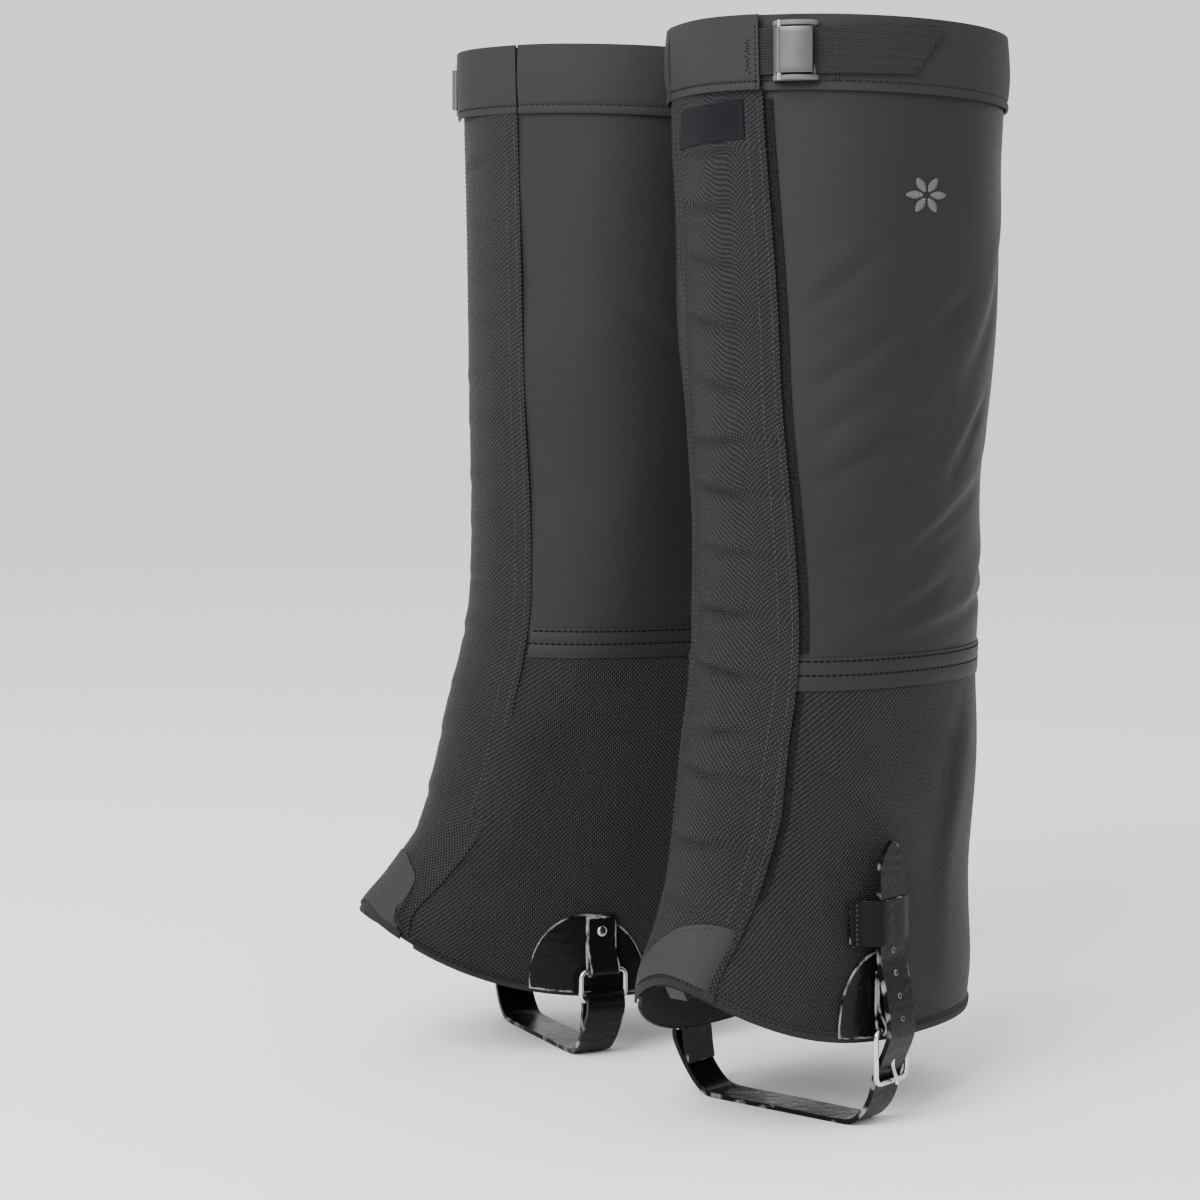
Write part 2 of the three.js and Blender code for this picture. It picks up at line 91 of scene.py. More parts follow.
# Heights
RIM = 474
RIM_TILT = 3
COLLAR_HEIGHT = 32
SEAM = 197
HEM_SIDE = 36
HEM_TOE_RISE = 32
HEM_INNER_DROP = 8
BINDING = 4
TOE_FROM = 105
TOE_LENGTH = 37
TOE_CORNER = math.radians(9)

# Flap and panels, measured round the leg
FLAP_HALF = 32
FLAP_TOE_HALF = 23
FLAP_TAPER_FROM = 135
UNDERLAP = 24
BEND = (1, 20)
TAPE_SHOWS = 3.5
PUFF = 0.3
TALLEST_CREASE = 2.4

# Instep strap and its hardware
STRAP_Y = -36
STRAP_WIDTH = 19
STRAP_THICK = 2.2
STRAP_TIP = 123
STRAP_SHOULDER = 110
HOLE_PITCH = 9.6
HOLE_RADIUS = 1.3
HOLES = 6
LOWEST_HOLE = 47.4
BAR = 2.4
FRAME_X = 54
FRAME_TOP = 43
FRAME_DROP = 23
RING_TOP = 42
RING_DROP = 14
FRAME_WIDTH = 25.2
PATCH_ANGLE = math.radians(72)
RIVET_HEIGHT = 60

# Line of the strap below the foot and up the outer side, and its fold at the inner ring
STRAP_LINE = (
    (-52.6, 19),
    (-48.5, 10),
    (-41, 2.8),
    (-34, 1.1),
    (0, 1.1),
    (34, 1.1),
    (41, 2.8),
    (47.6, 10),
    (51.1, 19),
    (51.5, 22.4),
    (58.6, 39),
    (59.2, 45),
    (57.6, 56),
    (54.3, 72),
    (54.1, 78),
    (54.1, 100),
    (54.1, STRAP_TIP),
)
UPRIGHT_FROM = 7
STRAP_FOLD = (
    (-49.3, 13.0),
    (-50.5, 20.5),
    (-51.2, 26.0),
    (-52.0, 29.6),
    (-54, 31.0),
    (-56.0, 29.8),
    (-56.9, 27.0),
    (-56.2, 22.5),
)

# Collar buckle and webbing
WEB_WIDTH = 20
WEB_Z = 461
CAM_PAST_EDGE = math.radians(11.5)
CAM_LENGTH = 20
CAM_BASE_IN = 2.8
CAM_HEIGHT = 7
RAIL = 2.2
PIN_X = -6
PIN_Y = 5.5
STRAP_PAST_EDGE = math.radians(61)
WEB_SLANT = math.radians(11)
MOTIF_PAST_EDGE = math.radians(57)
MOTIF_HEIGHT = 400

# Camera
VIEW_TURN = math.radians(52)
VIEW_HEIGHT = 0.34
VIEW_ASIDE = 0.1062
VIEW_SHIFT = -0.2208
LENS = 90
SENSOR = 36


def between(low, high, share):
    return low + (high - low) * share


def clamp01(value):
    return max(0.0, min(1.0, value))


def smooth(low, high, value):
    """0 below low, 1 above high and an even S between them."""
    t = clamp01((value - low) / (high - low))
    return t * t * (3 - 2 * t)


def bump(distance, width):
    """1 at no distance, falling away evenly on both sides."""
    return math.exp(-((distance / width) ** 2))


def curved(t, first, leaving, last, arriving):
    """A smooth curve from first to last, with the slopes that it leaves and arrives with."""
    return (
        (2 * t**3 - 3 * t**2 + 1) * first
        + (t**3 - 2 * t**2 + t) * leaving
        + (3 * t**2 - 2 * t**3) * last
        + (t**3 - t**2) * arriving
    )


# --- settings -----------------------------------------------------------------------------------


def shade(name, description, value):
    return FloatVectorProperty(
        name=name, description=description, default=value, subtype="COLOR", min=0, max=1
    )


class GaiterCloth(bpy.types.PropertyGroup):
    """How the cloth folds, and its colours."""

    fold_height: FloatProperty(
        name="Fold height",
        description="Height of the deepest creases in the panels",
        default=4.2 * MM,
        unit="LENGTH",
    )
    yarn: FloatProperty(
        name="Yarn pitch",
        description="Distance between neighbouring yarns of the packcloth",
        default=0.95 * MM,
        unit="LENGTH",
    )
    stitch: FloatProperty(
        name="Stitch pitch",
        description="Distance between stitches along a seam",
        default=2.9 * MM,
        unit="LENGTH",
    )
    laminate: shade("Laminate", "Colour of the smooth upper panels", (0.0160, 0.0162, 0.0165))
    packcloth: shade("Packcloth", "Colour of the woven panels and flaps", (0.0155, 0.0157, 0.0160))
    collar: shade("Collar", "Colour of the collar bands", (0.0195, 0.0197, 0.0200))
    tape: shade("Tape", "Colour of bindings and fastening tapes", (0.006, 0.006, 0.0065))
    toe: shade("Toe", "Colour of the toe patches", (0.0215, 0.0215, 0.0218))
    webbing: shade("Webbing", "Colour of the collar webbing", (0.0130, 0.0130, 0.0134))
    label: shade("Label", "Colour of the woven label", (0.0018, 0.0018, 0.0038))
    # The thread's dark grey tone, lifted with painted glint so the flap stitches show as light dots
    thread: shade("Thread", "Colour of the seam thread", (0.038, 0.038, 0.039))
    motif: shade("Motif", "Colour of the embroidered motif", (0.085, 0.085, 0.087))


class GaiterHardware(bpy.types.PropertyGroup):
    """Colours of straps and metal."""

    strap: shade("Strap", "Colour of the instep straps", (0.0034, 0.0028, 0.0030))
    patch: shade("Patch", "Colour of the hem patches", (0.0045, 0.0042, 0.0045))
    keeper: shade("Keeper", "Colour of the strap keepers", (0.0024, 0.0024, 0.0032))
    core: shade("Strap core", "Pale core that shows along worn strap edges", (0.19, 0.18, 0.18))
    wire: shade("Wire", "Colour of the polished wire", (0.56, 0.56, 0.57))
    plastic: shade("Buckle", "Colour of the collar buckle", (0.085, 0.085, 0.087))
    lever: shade("Lever", "Colour of the collar buckle's lever", (0.085, 0.085, 0.087))


class GaiterStage(bpy.types.PropertyGroup):
    """Camera distance and light."""

    distance: FloatProperty(
        name="Camera distance",
        description="Distance of the camera from the near gaiter",
        default=1.35,
        unit="LENGTH",
    )
    key: FloatProperty(name="Key light", description="Power of the key light", default=78, unit="POWER")
    fill: FloatProperty(name="Fill light", description="Power of the fill light", default=8, unit="POWER")
    surround: FloatProperty(
        name="Surround", description="Strength of the even light from all around", default=1.25
    )


# --- the worn tube as a surface -----------------------------------------------------------------


def slopes(column):
    """Slopes of a smooth curve through one column of the stations."""
    rows = [(station[0], station[column]) for station in STATIONS]
    found = []
    for i in range(len(rows)):
        before = rows[max(i - 1, 0)]
        after = rows[min(i + 1, len(rows) - 1)]
        found.append((after[1] - before[1]) / (after[0] - before[0]))
    return found


SLOPES = {column: slopes(column) for column in (1, 2, 3)}


def plan_size(z, column):
    """Half width or a reach of the tube at a height."""
    i = 1
    while i < len(STATIONS) - 1 and STATIONS[i][0] < z:
        i += 1
    low, high = STATIONS[i - 1], STATIONS[i]
    step = high[0] - low[0]
    t = clamp01((z - low[0]) / step)
    rise = SLOPES[column]
    return curved(t, low[column], step * rise[i - 1], high[column], step * rise[i])


def rim_at(u):
    """Height of the collar's rim."""
    return RIM + RIM_TILT * math.cos(u)


def hem_at(u):
    """Height of the hem, which rises over the toe and dips on the inner side."""
    toe = max(0.0, math.cos(u)) ** 3
    return HEM_SIDE + HEM_TOE_RISE * toe - HEM_INNER_DROP * max(0.0, -math.sin(u))


class Leg:
    """One gaiter's tube. An angle round the leg (0 front, 90 outside, 180 heel) and a height name a
    place on it, and a lift goes outwards from its inner face. Angles are radians, lengths millimetres."""

    def __init__(self, name, mirror, creep, toe_reach, toe_height, wrinkled, creases, seed):
        self.name = name
        self.mirror = mirror
        self.creep = [math.radians(step) for step in creep]
        self.toe_reach = toe_reach
        self.toe_height = toe_height
        self.wrinkled = wrinkled
        self.creases = creases + self.back_creases(seed)
        self.seed = seed
        self.fold_height = TALLEST_CREASE
        self.plans = {}

    def back_creases(self, seed):
        """Shallow drape folds on the calf, where no named crease lies."""
        dice = random.Random(seed)
        found = []
        for step in range(16):
            u = 112 + 150 * ((step * 0.618) % 1)
            z = 225 + 190 * step / 16
            lean = 18 + 16 * dice.random()
            rise = lean * (0.6 + 0.5 * dice.random())
            found.append((u, z, u + lean, z + rise, 6 + 3 * dice.random(), 0.5 + 0.4 * dice.random()))
        return found

    def plan(self, z):
        """Half width, reach forward and reach back at a height."""
        key = round(z * 4)
        if key not in self.plans:
            extra = self.toe_reach * clamp01((TOE_FROM - z) / TOE_LENGTH)
            self.plans[key] = (plan_size(z, 1), plan_size(z, 2) + extra, plan_size(z, 3))
        return self.plans[key]

    def place(self, x, y, z):
        """A point of the unturned left gaiter, set on this leg, in metres."""
        turn = self.mirror * TOE_OUT
        x *= self.mirror
        return Vector((
            (x * math.cos(turn) - y * math.sin(turn) + self.mirror * SPACING / 2) * MM,
            (x * math.sin(turn) + y * math.cos(turn)) * MM,
            z * MM,
        ))

    def matrix(self):
        """The same placing as a matrix on metres."""
        turn = Matrix.Rotation(self.mirror * TOE_OUT, 4, "Z")
        shift = Matrix.Translation((self.mirror * SPACING / 2 * MM, 0, 0))
        return shift @ turn @ Matrix.Diagonal((self.mirror, 1, 1, 1))

    def at(self, u, z, lift=0.0):
        half, front, back = self.plan(z)
        reach = front if math.cos(u) > 0 else back
        return self.place((half + lift) * math.sin(u), -(reach + lift) * math.cos(u), z)

    def outwards(self, u, z):
        along = self.at(u + 0.01, z) - self.at(u - 0.01, z)
        up = self.at(u, z + 1) - self.at(u, z - 1)
        return along.cross(up).normalized() * self.mirror

    def edge(self, z, mm):
        """Angle of a line that runs a number of millimetres from the flap's middle, which creeps round
        the leg with height."""
        low, middle, high = self.creep
        creep = -low - middle * smooth(180, 330, z) - high * smooth(330, 455, z)
        narrow = clamp01((FLAP_TAPER_FROM - z) / (FLAP_TAPER_FROM - HEM_SIDE - HEM_TOE_RISE))
        scale = between(1, FLAP_TOE_HALF / FLAP_HALF, narrow)
        return creep + mm * scale / self.plan(z)[0]

    def sewn(self, z):
        return self.edge(z, -FLAP_HALF)

    def free(self, z):
        return self.edge(z, FLAP_HALF)

    def past_free(self, mm):
        """A side edge, by height, a number of millimetres past the flap's free edge."""
        return lambda z: self.free(z) + mm / self.plan(z)[0]

    def flap_share(self, u, z):
        """0 at the flap's sewn edge and 1 at its free edge."""
        return (u - self.sewn(z)) / (self.free(z) - self.sewn(z))

    def relief(self, u, z):
        """Height of the folds in the panels, in millimetres."""
        degrees = math.degrees(u)
        total = PUFF
        for u0, z0, u1, z1, width, height in self.creases:
            turn = degrees + 360 if degrees < u0 - 120 else degrees
            total += crease(turn, z, u0, z0, u1, z1, width, height)
        spot = Vector((math.cos(u) * 1.6, math.sin(u) * 1.6, z / 62)) + Vector((self.seed, 0, 0))
        total += 1.1 * noise.noise(spot)
        total *= self.free_of_hardware(u, z) * self.fold_height / TALLEST_CREASE
        return max(-0.7, total)

    def free_of_hardware(self, u, z):
        """Fades the folds to nothing at the rim, hem, flap and straps."""
        share = self.flap_share(u, z)
        beside = smooth(0.0, 0.55, max(share - 1.02, -share - 0.04))
        from_strap = abs(abs(math.degrees(u)) - math.degrees(PATCH_ANGLE))
        strap = 1 - (1 - smooth(14, 27, from_strap)) * (1 - smooth(112, 140, z))
        rim = 1 - 0.85 * smooth(415, 440, z)
        hem = smooth(2, 26, z - hem_at(u))
        return beside * strap * rim * hem


def crease(degrees, z, u0, z0, u1, z1, width, height):
    """A fold from one place to another: a ridge with a furrow below it, fading at both ends."""
    mm_per_degree = 1.15
    along = Vector(((u1 - u0) * mm_per_degree, z1 - z0))
    here = Vector(((degrees - u0) * mm_per_degree, z - z0))
    length = along.length
    t = here.dot(along) / length**2
    if not -0.6 < t < 1.6:
        return 0.0
    aside = (along.x * here.y - along.y * here.x) / length
    fade = smooth(-0.5, 0.25, t) * smooth(-0.5, 0.25, 1 - t)
    ridge = bump(aside - 0.55 * width, width)
    furrow = bump(aside + 0.45 * width, 0.6 * width)
    return height * fade * (0.4 * ridge - 0.9 * furrow)


# Angle and height where a crease starts, where it ends, its width and its height
LEFT_CREASES = [
    (22, 350, 46, 374, 7, 1.1),
    (26, 318, 56, 342, 6, 1.2),
    (56, 322, 82, 352, 7, 1.6),
    (26, 296, 46, 311, 6, 0.9),
    (28, 276, 66, 303, 7, 1.8),
    (92, 284, 106, 308, 6, 1.1),
    (66, 280, 80, 308, 7, 1.2),
    (70, 248, 106, 272, 6, 1.3),
    (44, 206, 80, 228, 6, 2.0),
    (68, 209, 124, 224, 5, 1.4),
    (60, 236, 92, 254, 7, 1.0),
    (34, 245, 60, 262, 8, 0.8),
    (96, 330, 116, 372, 9, 0.9),
    (34, 118, 56, 80, 8, 2.2),
    (34, 104, 52, 88, 5, 1.6),
    (34, 164, 74, 118, 9, 2.6),
    (34, 142, 60, 120, 7, 1.2),
    (48, 150, 62, 164, 8, 1.0),
    (104, 160, 92, 100, 9, 1.4),
    (70, 172, 104, 158, 9, 1.1),
    (-62, 150, -92, 120, 9, 1.3),
    (-50, 118, -66, 92, 7, 1.2),
    (-60, 330, -84, 300, 8, 1.0),
    (-70, 270, -100, 246, 8, 1.2),
    (-62, 226, -96, 212, 7, 1.2),
]

RIGHT_CREASES = [
    (-44, 250, -88, 292, 7, 2.4),
    (-70, 256, -100, 282, 7, 1.8),
    (-34, 322, -48, 380, 9, 1.3),
    (-28, 306, -62, 323, 7, 1.0),
    (-70, 358, -90, 378, 9, 1.5),
    (-34, 240, -54, 252, 6, 1.1),
    (-66, 212, -100, 232, 7, 1.5),
    (-56, 424, -68, 444, 9, 0.9),
    (-42, 206, -70, 222, 6, 1.0),
    (-76, 318, -104, 348, 8, 1.3),
    (-38, 164, -66, 112, 9, 2.8),
    (-36, 122, -54, 84, 8, 2.2),
    (-58, 176, -84, 132, 9, 1.8),
    (40, 280, 70, 306, 7, 1.4),
    (44, 212, 84, 232, 6, 1.5),
    (50, 330, 82, 358, 8, 1.2),
    (38, 160, 76, 126, 9, 1.4),
    (36, 112, 54, 84, 7, 1.3),
    (100, 160, 90, 100, 9, 1.2),
]

LEGS = (
    Leg(
        "left", mirror=1, creep=(3.8, 6.2, 4.0), toe_reach=0, toe_height=9, wrinkled=1.0,
        creases=LEFT_CREASES, seed=3,
    ),
    Leg(
        "right", mirror=-1, creep=(0, -1.5, 0), toe_reach=9, toe_height=18, wrinkled=0.45,
        creases=RIGHT_CREASES, seed=8,
    ),
)


# --- shader maths -------------------------------------------------------------------------------


class Signal:
    """A number socket of a shader that takes part in ordinary sums."""

    def __init__(self, finish, socket):
        self.finish = finish
        self.socket = socket

    def sum(self, operation, first, second=0.0):
        return self.finish.node("ShaderNodeMath", {"operation": operation}, {0: first, 1: second})

    def __add__(self, other):
        return self.sum("ADD", self, other)

    def __radd__(self, other):
        return self.sum("ADD", other, self)

    def __sub__(self, other):
        return self.sum("SUBTRACT", self, other)

    def __rsub__(self, other):
        return self.sum("SUBTRACT", other, self)

    def __mul__(self, other):
        return self.sum("MULTIPLY", self, other)

    def __rmul__(self, other):
        return self.sum("MULTIPLY", other, self)

    def __truediv__(self, other):
        return self.sum("DIVIDE", self, other)

    def __rtruediv__(self, other):
        return self.sum("DIVIDE", other, self)

    def __gt__(self, other):
        return self.sum("GREATER_THAN", self, other)

    def __lt__(self, other):
        return self.sum("LESS_THAN", self, other)

    def __abs__(self):
        return self.sum("ABSOLUTE", self)

    def __pow__(self, other):
        return self.sum("POWER", self, other)

    def sine(self):
        return self.sum("SINE", self)

    def fraction(self):
        return self.sum("FRACT", self)

    def or_less(self, other):
        return self.sum("MINIMUM", self, other)

    def clamped(self):
        return self.finish.node("ShaderNodeClamp", {}, {"Value": self})


class Finish:
    """One procedural material."""

    def __init__(self, name):
        self.material = bpy.data.materials.new(name)
        self.material.use_nodes = True
        self.tree = self.material.node_tree
        self.tree.nodes.clear()

    def node(self, kind, settings, values, output=0):
        """Makes a node: its settings first, then the values or links of its sockets."""
        made = self.tree.nodes.new(kind)
        for key, value in settings.items():
            setattr(made, key, value)
        for key, value in values.items():
            if isinstance(value, Signal):
                self.tree.links.new(value.socket, made.inputs[key])
            elif made.inputs[key].type == "RGBA":
                made.inputs[key].default_value = (*tuple(value)[:3], 1)
            else:
                made.inputs[key].default_value = value
        return Signal(self, made.outputs[output]) if made.outputs else None

    def cloth_place(self, layer="cloth"):
        """Two numbers, across and up the cloth, in metres."""
        place = self.node("ShaderNodeUVMap", {"uv_map": layer}, {})
        across = self.node("ShaderNodeSeparateXYZ", {}, {0: place}, 0)
        up = self.node("ShaderNodeSeparateXYZ", {}, {0: place}, 1)
        return across, up

    def joined(self, x, y, z=0.0):
        return self.node("ShaderNodeCombineXYZ", {}, {0: x, 1: y, 2: z})

    def object_place(self):
        return self.node("ShaderNodeTexCoord", {}, {}, 3)

    def grain(self, place, scale, detail=3.0, rough=0.5):
        values = {"Vector": place, "Scale": scale, "Detail": detail, "Roughness": rough}
        return self.node("ShaderNodeTexNoise", {}, values, 0)

    def mixed(self, share, first, second):
        settings = {"data_type": "RGBA"}
        return self.node("ShaderNodeMix", settings, {0: share, 6: first, 7: second}, 2)

    def raised(self, height, distance, strength=1.0, normal=None):
        values = {"Height": height, "Distance": distance, "Strength": strength}
        if normal is not None:
            values["Normal"] = normal
        return self.node("ShaderNodeBump", {}, values)

    def surface(self, **values):
        """Closes the material with its main shader. Keys are socket names with _ for a space."""
        sockets = {key.replace("_", " "): value for key, value in values.items()}
        shader = self.node("ShaderNodeBsdfPrincipled", {}, sockets)
        self.node("ShaderNodeOutputMaterial", {}, {"Surface": shader})
        return self.material


def tinted(colour, gain):
    return tuple(min(1.0, channel * gain) for channel in colour)


# --- finishes -----------------------------------------------------------------------------------


def packcloth_finish(name, colour, yarn):
    """Coarse plain weave: rounded yarns that pass over and under each other. The colour carries painted
    glints on the yarn crowns and painted shade in the gaps between yarns.
    """
    finish = Finish(name)
    across, up = finish.cloth_place()
    wander = finish.grain(finish.joined(across, up), 90.0, 2.0)
    x = across / yarn + wander * 0.35
    y = up / (yarn * 1.12) + wander * 0.35
    warp = (x * math.pi).sine()
    weft = (y * math.pi).sine()
    over = warp * weft
    crown = abs(warp) ** 0.7 * abs(weft) ** 0.7
    # Streaks along the yarns: painted glints in the colour, and a small change of roughness
    glint_streak = finish.grain(finish.joined(x * 0.5, y * 2.3), 1.0, 2.0)
    patchy = finish.grain(finish.joined(across, up), 22.0, 3.0)
    # Painted light: lighter where a yarn passes over (painted glint), darker between yarns (painted shade),
    # plus random patchy tone
    lit = (0.36 + over * 0.75 + (glint_streak - 0.5) * 0.9 + (patchy - 0.5) * 0.3).clamped()
    base = finish.mixed(lit, tinted(colour, 0.22), tinted(colour, 2.5))
    rough = 0.55 + (glint_streak - 0.5) * 0.3 - crown * 0.1
    normal = finish.raised(crown + over * 0.35, 0.00045, 1.0)
    return finish.surface(Base_Color=base, Roughness=rough, Normal=normal, Specular_IOR_Level=0.11)


def laminate_finish(name, colour):
    """Smooth face cloth of the laminate: very fine weave, soft sheen, faint scuffs."""
    finish = Finish(name)
    across, up = finish.cloth_place()
    thread = 0.00042
    fine = (across * (math.pi / thread)).sine() * (up * (math.pi / thread)).sine()
    place = finish.joined(across, up)
    cloudy = finish.grain(place, 14.0, 4.0)
    pebble = finish.grain(place, 520.0, 3.0, 0.65)
    base = finish.mixed(
        (cloudy * 0.7 + pebble * 0.3 + fine * 0.05).clamped(), tinted(colour, 0.85), tinted(colour, 1.15)
    )
    crinkle = finish.grain(place, 75.0, 3.0)
    normal = finish.raised(crinkle, 0.0006, 0.35)
    normal = finish.raised(fine * 0.35 + pebble, 0.00012, 0.8, normal)
    return finish.surface(
        Base_Color=base, Roughness=0.48 + (pebble - 0.5) * 0.2, Normal=normal, Specular_IOR_Level=0.1
    )


def brushed_finish(name, colour):
    """Soft brushed nylon of the collar."""
    finish = Finish(name)
    across, up = finish.cloth_place()
    place = finish.joined(across, up)
    nap = finish.grain(finish.joined(across, up * 2.2), 650.0, 3.0, 0.7)
    knit = 0.0007
    rib = (up * (math.pi / knit)).sine() * (across * (math.pi / knit)).sine()
    cloudy = finish.grain(place, 30.0, 3.0)
    base = finish.mixed((nap * 0.6 + cloudy * 0.4).clamped(), tinted(colour, 0.7), tinted(colour, 1.3))
    soft = finish.grain(place, 160.0, 3.0)
    normal = finish.raised(soft, 0.0005, 0.4)
    normal = finish.raised(nap + rib * 0.3, 0.0002, 0.8, normal)
    return finish.surface(
        Base_Color=base, Roughness=0.6 + (cloudy - 0.5) * 0.2, Normal=normal, Specular_IOR_Level=0.1
    )


def tape_finish(name, colour):
    """Narrow woven binding: fine cross ribs."""
    finish = Finish(name)
    across, up = finish.cloth_place()
    rib = 0.0009
    ribs = (across * (math.pi / rib)).sine()
    fuzz = finish.grain(finish.joined(across, up), 900.0, 2.0)
    base = finish.mixed((abs(ribs) * 0.6 + fuzz * 0.5).clamped(), tinted(colour, 0.5), tinted(colour, 1.8))
    normal = finish.raised(abs(ribs) + fuzz * 0.5, 0.0003, 1.0)
    return finish.surface(
        Base_Color=base, Roughness=0.8 - fuzz * 0.15, Normal=normal, Specular_IOR_Level=0.2
    )


def pile_finish(name, colour):
    """Hook and loop tape: a dark, fuzzy pile."""
    finish = Finish(name)
    across, up = finish.cloth_place()
    place = finish.joined(across, up)
    tufts = finish.node("ShaderNodeTexVoronoi", {}, {"Vector": place, "Scale": 1100.0}, 0)
    fuzz = finish.grain(place, 1400.0, 3.0, 0.8)
    base = finish.mixed((fuzz * 1.4 - tufts * 0.6).clamped(), tinted(colour, 0.3), tinted(colour, 3.2))
    normal = finish.raised(fuzz - tufts, 0.0006, 1.0)
    return finish.surface(
        Base_Color=base, Roughness=0.9 - fuzz * 0.1, Normal=normal, Specular_IOR_Level=0.1
    )


def toe_finish(name, colour):
    """Matte rubberised cloth with a fine pebble."""
    finish = Finish(name)
    across, up = finish.cloth_place()
    place = finish.joined(across, up)
    speck = finish.grain(place, 800.0, 3.0, 0.7)
    cloudy = finish.grain(place, 45.0, 4.0)
    base = finish.mixed((speck * 0.5 + cloudy * 0.5).clamped(), tinted(colour, 0.75), tinted(colour, 1.3))
    normal = finish.raised(speck + cloudy * 0.5, 0.0002, 0.9)
    return finish.surface(
        Base_Color=base, Roughness=0.7 + (cloudy - 0.5) * 0.25, Normal=normal, Specular_IOR_Level=0.15
    )


def webbing_finish(name, colour):
    """Tight herringbone webbing with firm edges."""
    finish = Finish(name)
    across, up = finish.cloth_place()
    herringbone, twill, row = 0.0042, 0.0013, 0.0011
    zigzag = abs((up / herringbone).fraction() - 0.5) * 2.6
    chevron = ((across / twill + zigzag) * math.pi * 2).sine()
    rows = abs((up * (math.pi / row)).sine())
    fibre = finish.grain(finish.joined(across * 3.0, up), 700.0, 2.0)
    lit = (chevron * 0.3 + rows * 0.3 + fibre * 0.5).clamped()
    base = finish.mixed(lit, tinted(colour, 0.5), tinted(colour, 2.4))
    normal = finish.raised(chevron * 0.5 + rows, 0.0004, 1.0)
    return finish.surface(
        Base_Color=base, Roughness=0.55 + fibre * 0.15, Normal=normal, Specular_IOR_Level=0.15
    )


def worn_leather_finish(name, colour, core, gloss, wear, spread):
    """Glossy coated leather: creases, scuffs and a pale core that shows in patches along worn edges.
    Wear is how far the core reaches in from an edge, in metres, and spread how many patches there are."""
    finish = Finish(name)
    from_side, from_end = finish.cloth_place("edge")
    place = finish.object_place()
    scuff = finish.grain(place, 420.0, 4.0, 0.65)
    pores = finish.grain(place, 1500.0, 2.0)
    smear = finish.grain(place, 55.0, 3.0)
    nearest = from_side.or_less(from_end)
    cracked = ((wear - nearest) / (0.4 * wear) + (scuff - 0.5) * 5.0).clamped()
    worn = ((finish.grain(place, 130.0, 2.0) - 1.0 + spread) * 7.0).clamped()
    rim = cracked * worn
    body = finish.mixed((smear * 0.6 + scuff * 0.4).clamped(), tinted(colour, 0.75), tinted(colour, 1.35))
    base = finish.mixed(rim, body, core)
    rough = (gloss + (smear - 0.5) * 0.16 + (scuff - 0.5) * 0.16 + rim * 0.35).clamped()
    flex = finish.node(
        "ShaderNodeTexWave",
        {"wave_type": "BANDS", "bands_direction": "Z"},
        {"Vector": place, "Scale": 60.0, "Distortion": 6.0, "Detail": 2.0, "Detail Scale": 2.0},
        1,
    )
    normal = finish.raised(flex * smear, 0.0004, 0.5)
    normal = finish.raised(pores * 0.4 + scuff, 0.00018, 0.6, normal)
    return finish.surface(
        Base_Color=base, Roughness=rough, Normal=normal, Specular_IOR_Level=0.08,
        Coat_Weight=0.05, Coat_Roughness=0.14,
    )


def wire_finish(name, colour):
    """Polished wire with fine handling marks."""
    finish = Finish(name)
    place = finish.object_place()
    marks = finish.grain(place, 900.0, 3.0, 0.6)
    cloudy = finish.grain(place, 120.0, 2.0)
    base = finish.mixed(cloudy, tinted(colour, 0.8), tinted(colour, 1.12))
    normal = finish.raised(marks, 0.00004, 0.5)
    return finish.surface(
        Base_Color=base, Metallic=1.0, Roughness=0.12 + marks * 0.16, Normal=normal
    )


def satin_metal_finish(name, colour):
    """Fine brushed plate."""
    finish = Finish(name)
    place = finish.object_place()
    x = finish.node("ShaderNodeSeparateXYZ", {}, {0: place}, 0)
    z = finish.node("ShaderNodeSeparateXYZ", {}, {0: place}, 2)
    brush = finish.grain(finish.joined(x * 0.2, 0.0, z * 6.0), 900.0, 2.0, 0.6)
    cloudy = finish.grain(place, 150.0, 3.0)
    base = finish.mixed((brush * 0.5 + cloudy * 0.5).clamped(), tinted(colour, 0.7), tinted(colour, 1.25))
    normal = finish.raised(brush, 0.00006, 0.6)
    return finish.surface(
        Base_Color=base, Metallic=0.85, Roughness=0.3 + brush * 0.2, Normal=normal
    )


def plastic_finish(name, colour):
    """Moulded plastic with a fine spark-eroded grain."""
    finish = Finish(name)
    place = finish.object_place()
    grain = finish.grain(place, 2200.0, 2.0, 0.6)
    cloudy = finish.grain(place, 90.0, 3.0)
    base = finish.mixed(cloudy, tinted(colour, 0.85), tinted(colour, 1.2))
    normal = finish.raised(grain, 0.00008, 0.6)
    return finish.surface(
        Base_Color=base, Roughness=0.4 + grain * 0.2, Normal=normal, Specular_IOR_Level=0.3
    )


def thread_finish(name, colour):
    """Twisted sewing thread."""
    finish = Finish(name)
    place = finish.object_place()
    strand = finish.grain(place, 2600.0, 2.0, 0.6)
    base = finish.mixed(strand, tinted(colour, 0.55), tinted(colour, 1.7))
    normal = finish.raised(strand, 0.0001, 0.6)
    return finish.surface(
        Base_Color=base, Roughness=0.5 + strand * 0.15, Normal=normal, Specular_IOR_Level=0.08
    )


def label_finish(name, colour):
    """Satin woven label: fine weft ribs and a plain woven border."""
    finish = Finish(name)
    across, up = finish.cloth_place()
    from_side, from_end = finish.cloth_place("edge")
    weft = 0.00045
    ribs = abs((up * (math.pi / weft)).sine())
    satin = finish.grain(finish.joined(across, up * 5.0), 900.0, 2.0)
    nearest = from_side.or_less(from_end)
    line = (nearest > 0.0013) * (nearest < 0.0017)
    body = finish.mixed((ribs * 0.4 + satin * 0.6).clamped(), tinted(colour, 0.7), tinted(colour, 1.7))
    base = finish.mixed(line * 0.5, body, tinted(colour, 5.0))
    normal = finish.raised(ribs + line * 0.6, 0.00015, 0.9)
    return finish.surface(
        Base_Color=base, Roughness=0.48 + satin * 0.15, Normal=normal, Specular_IOR_Level=0.12
    )


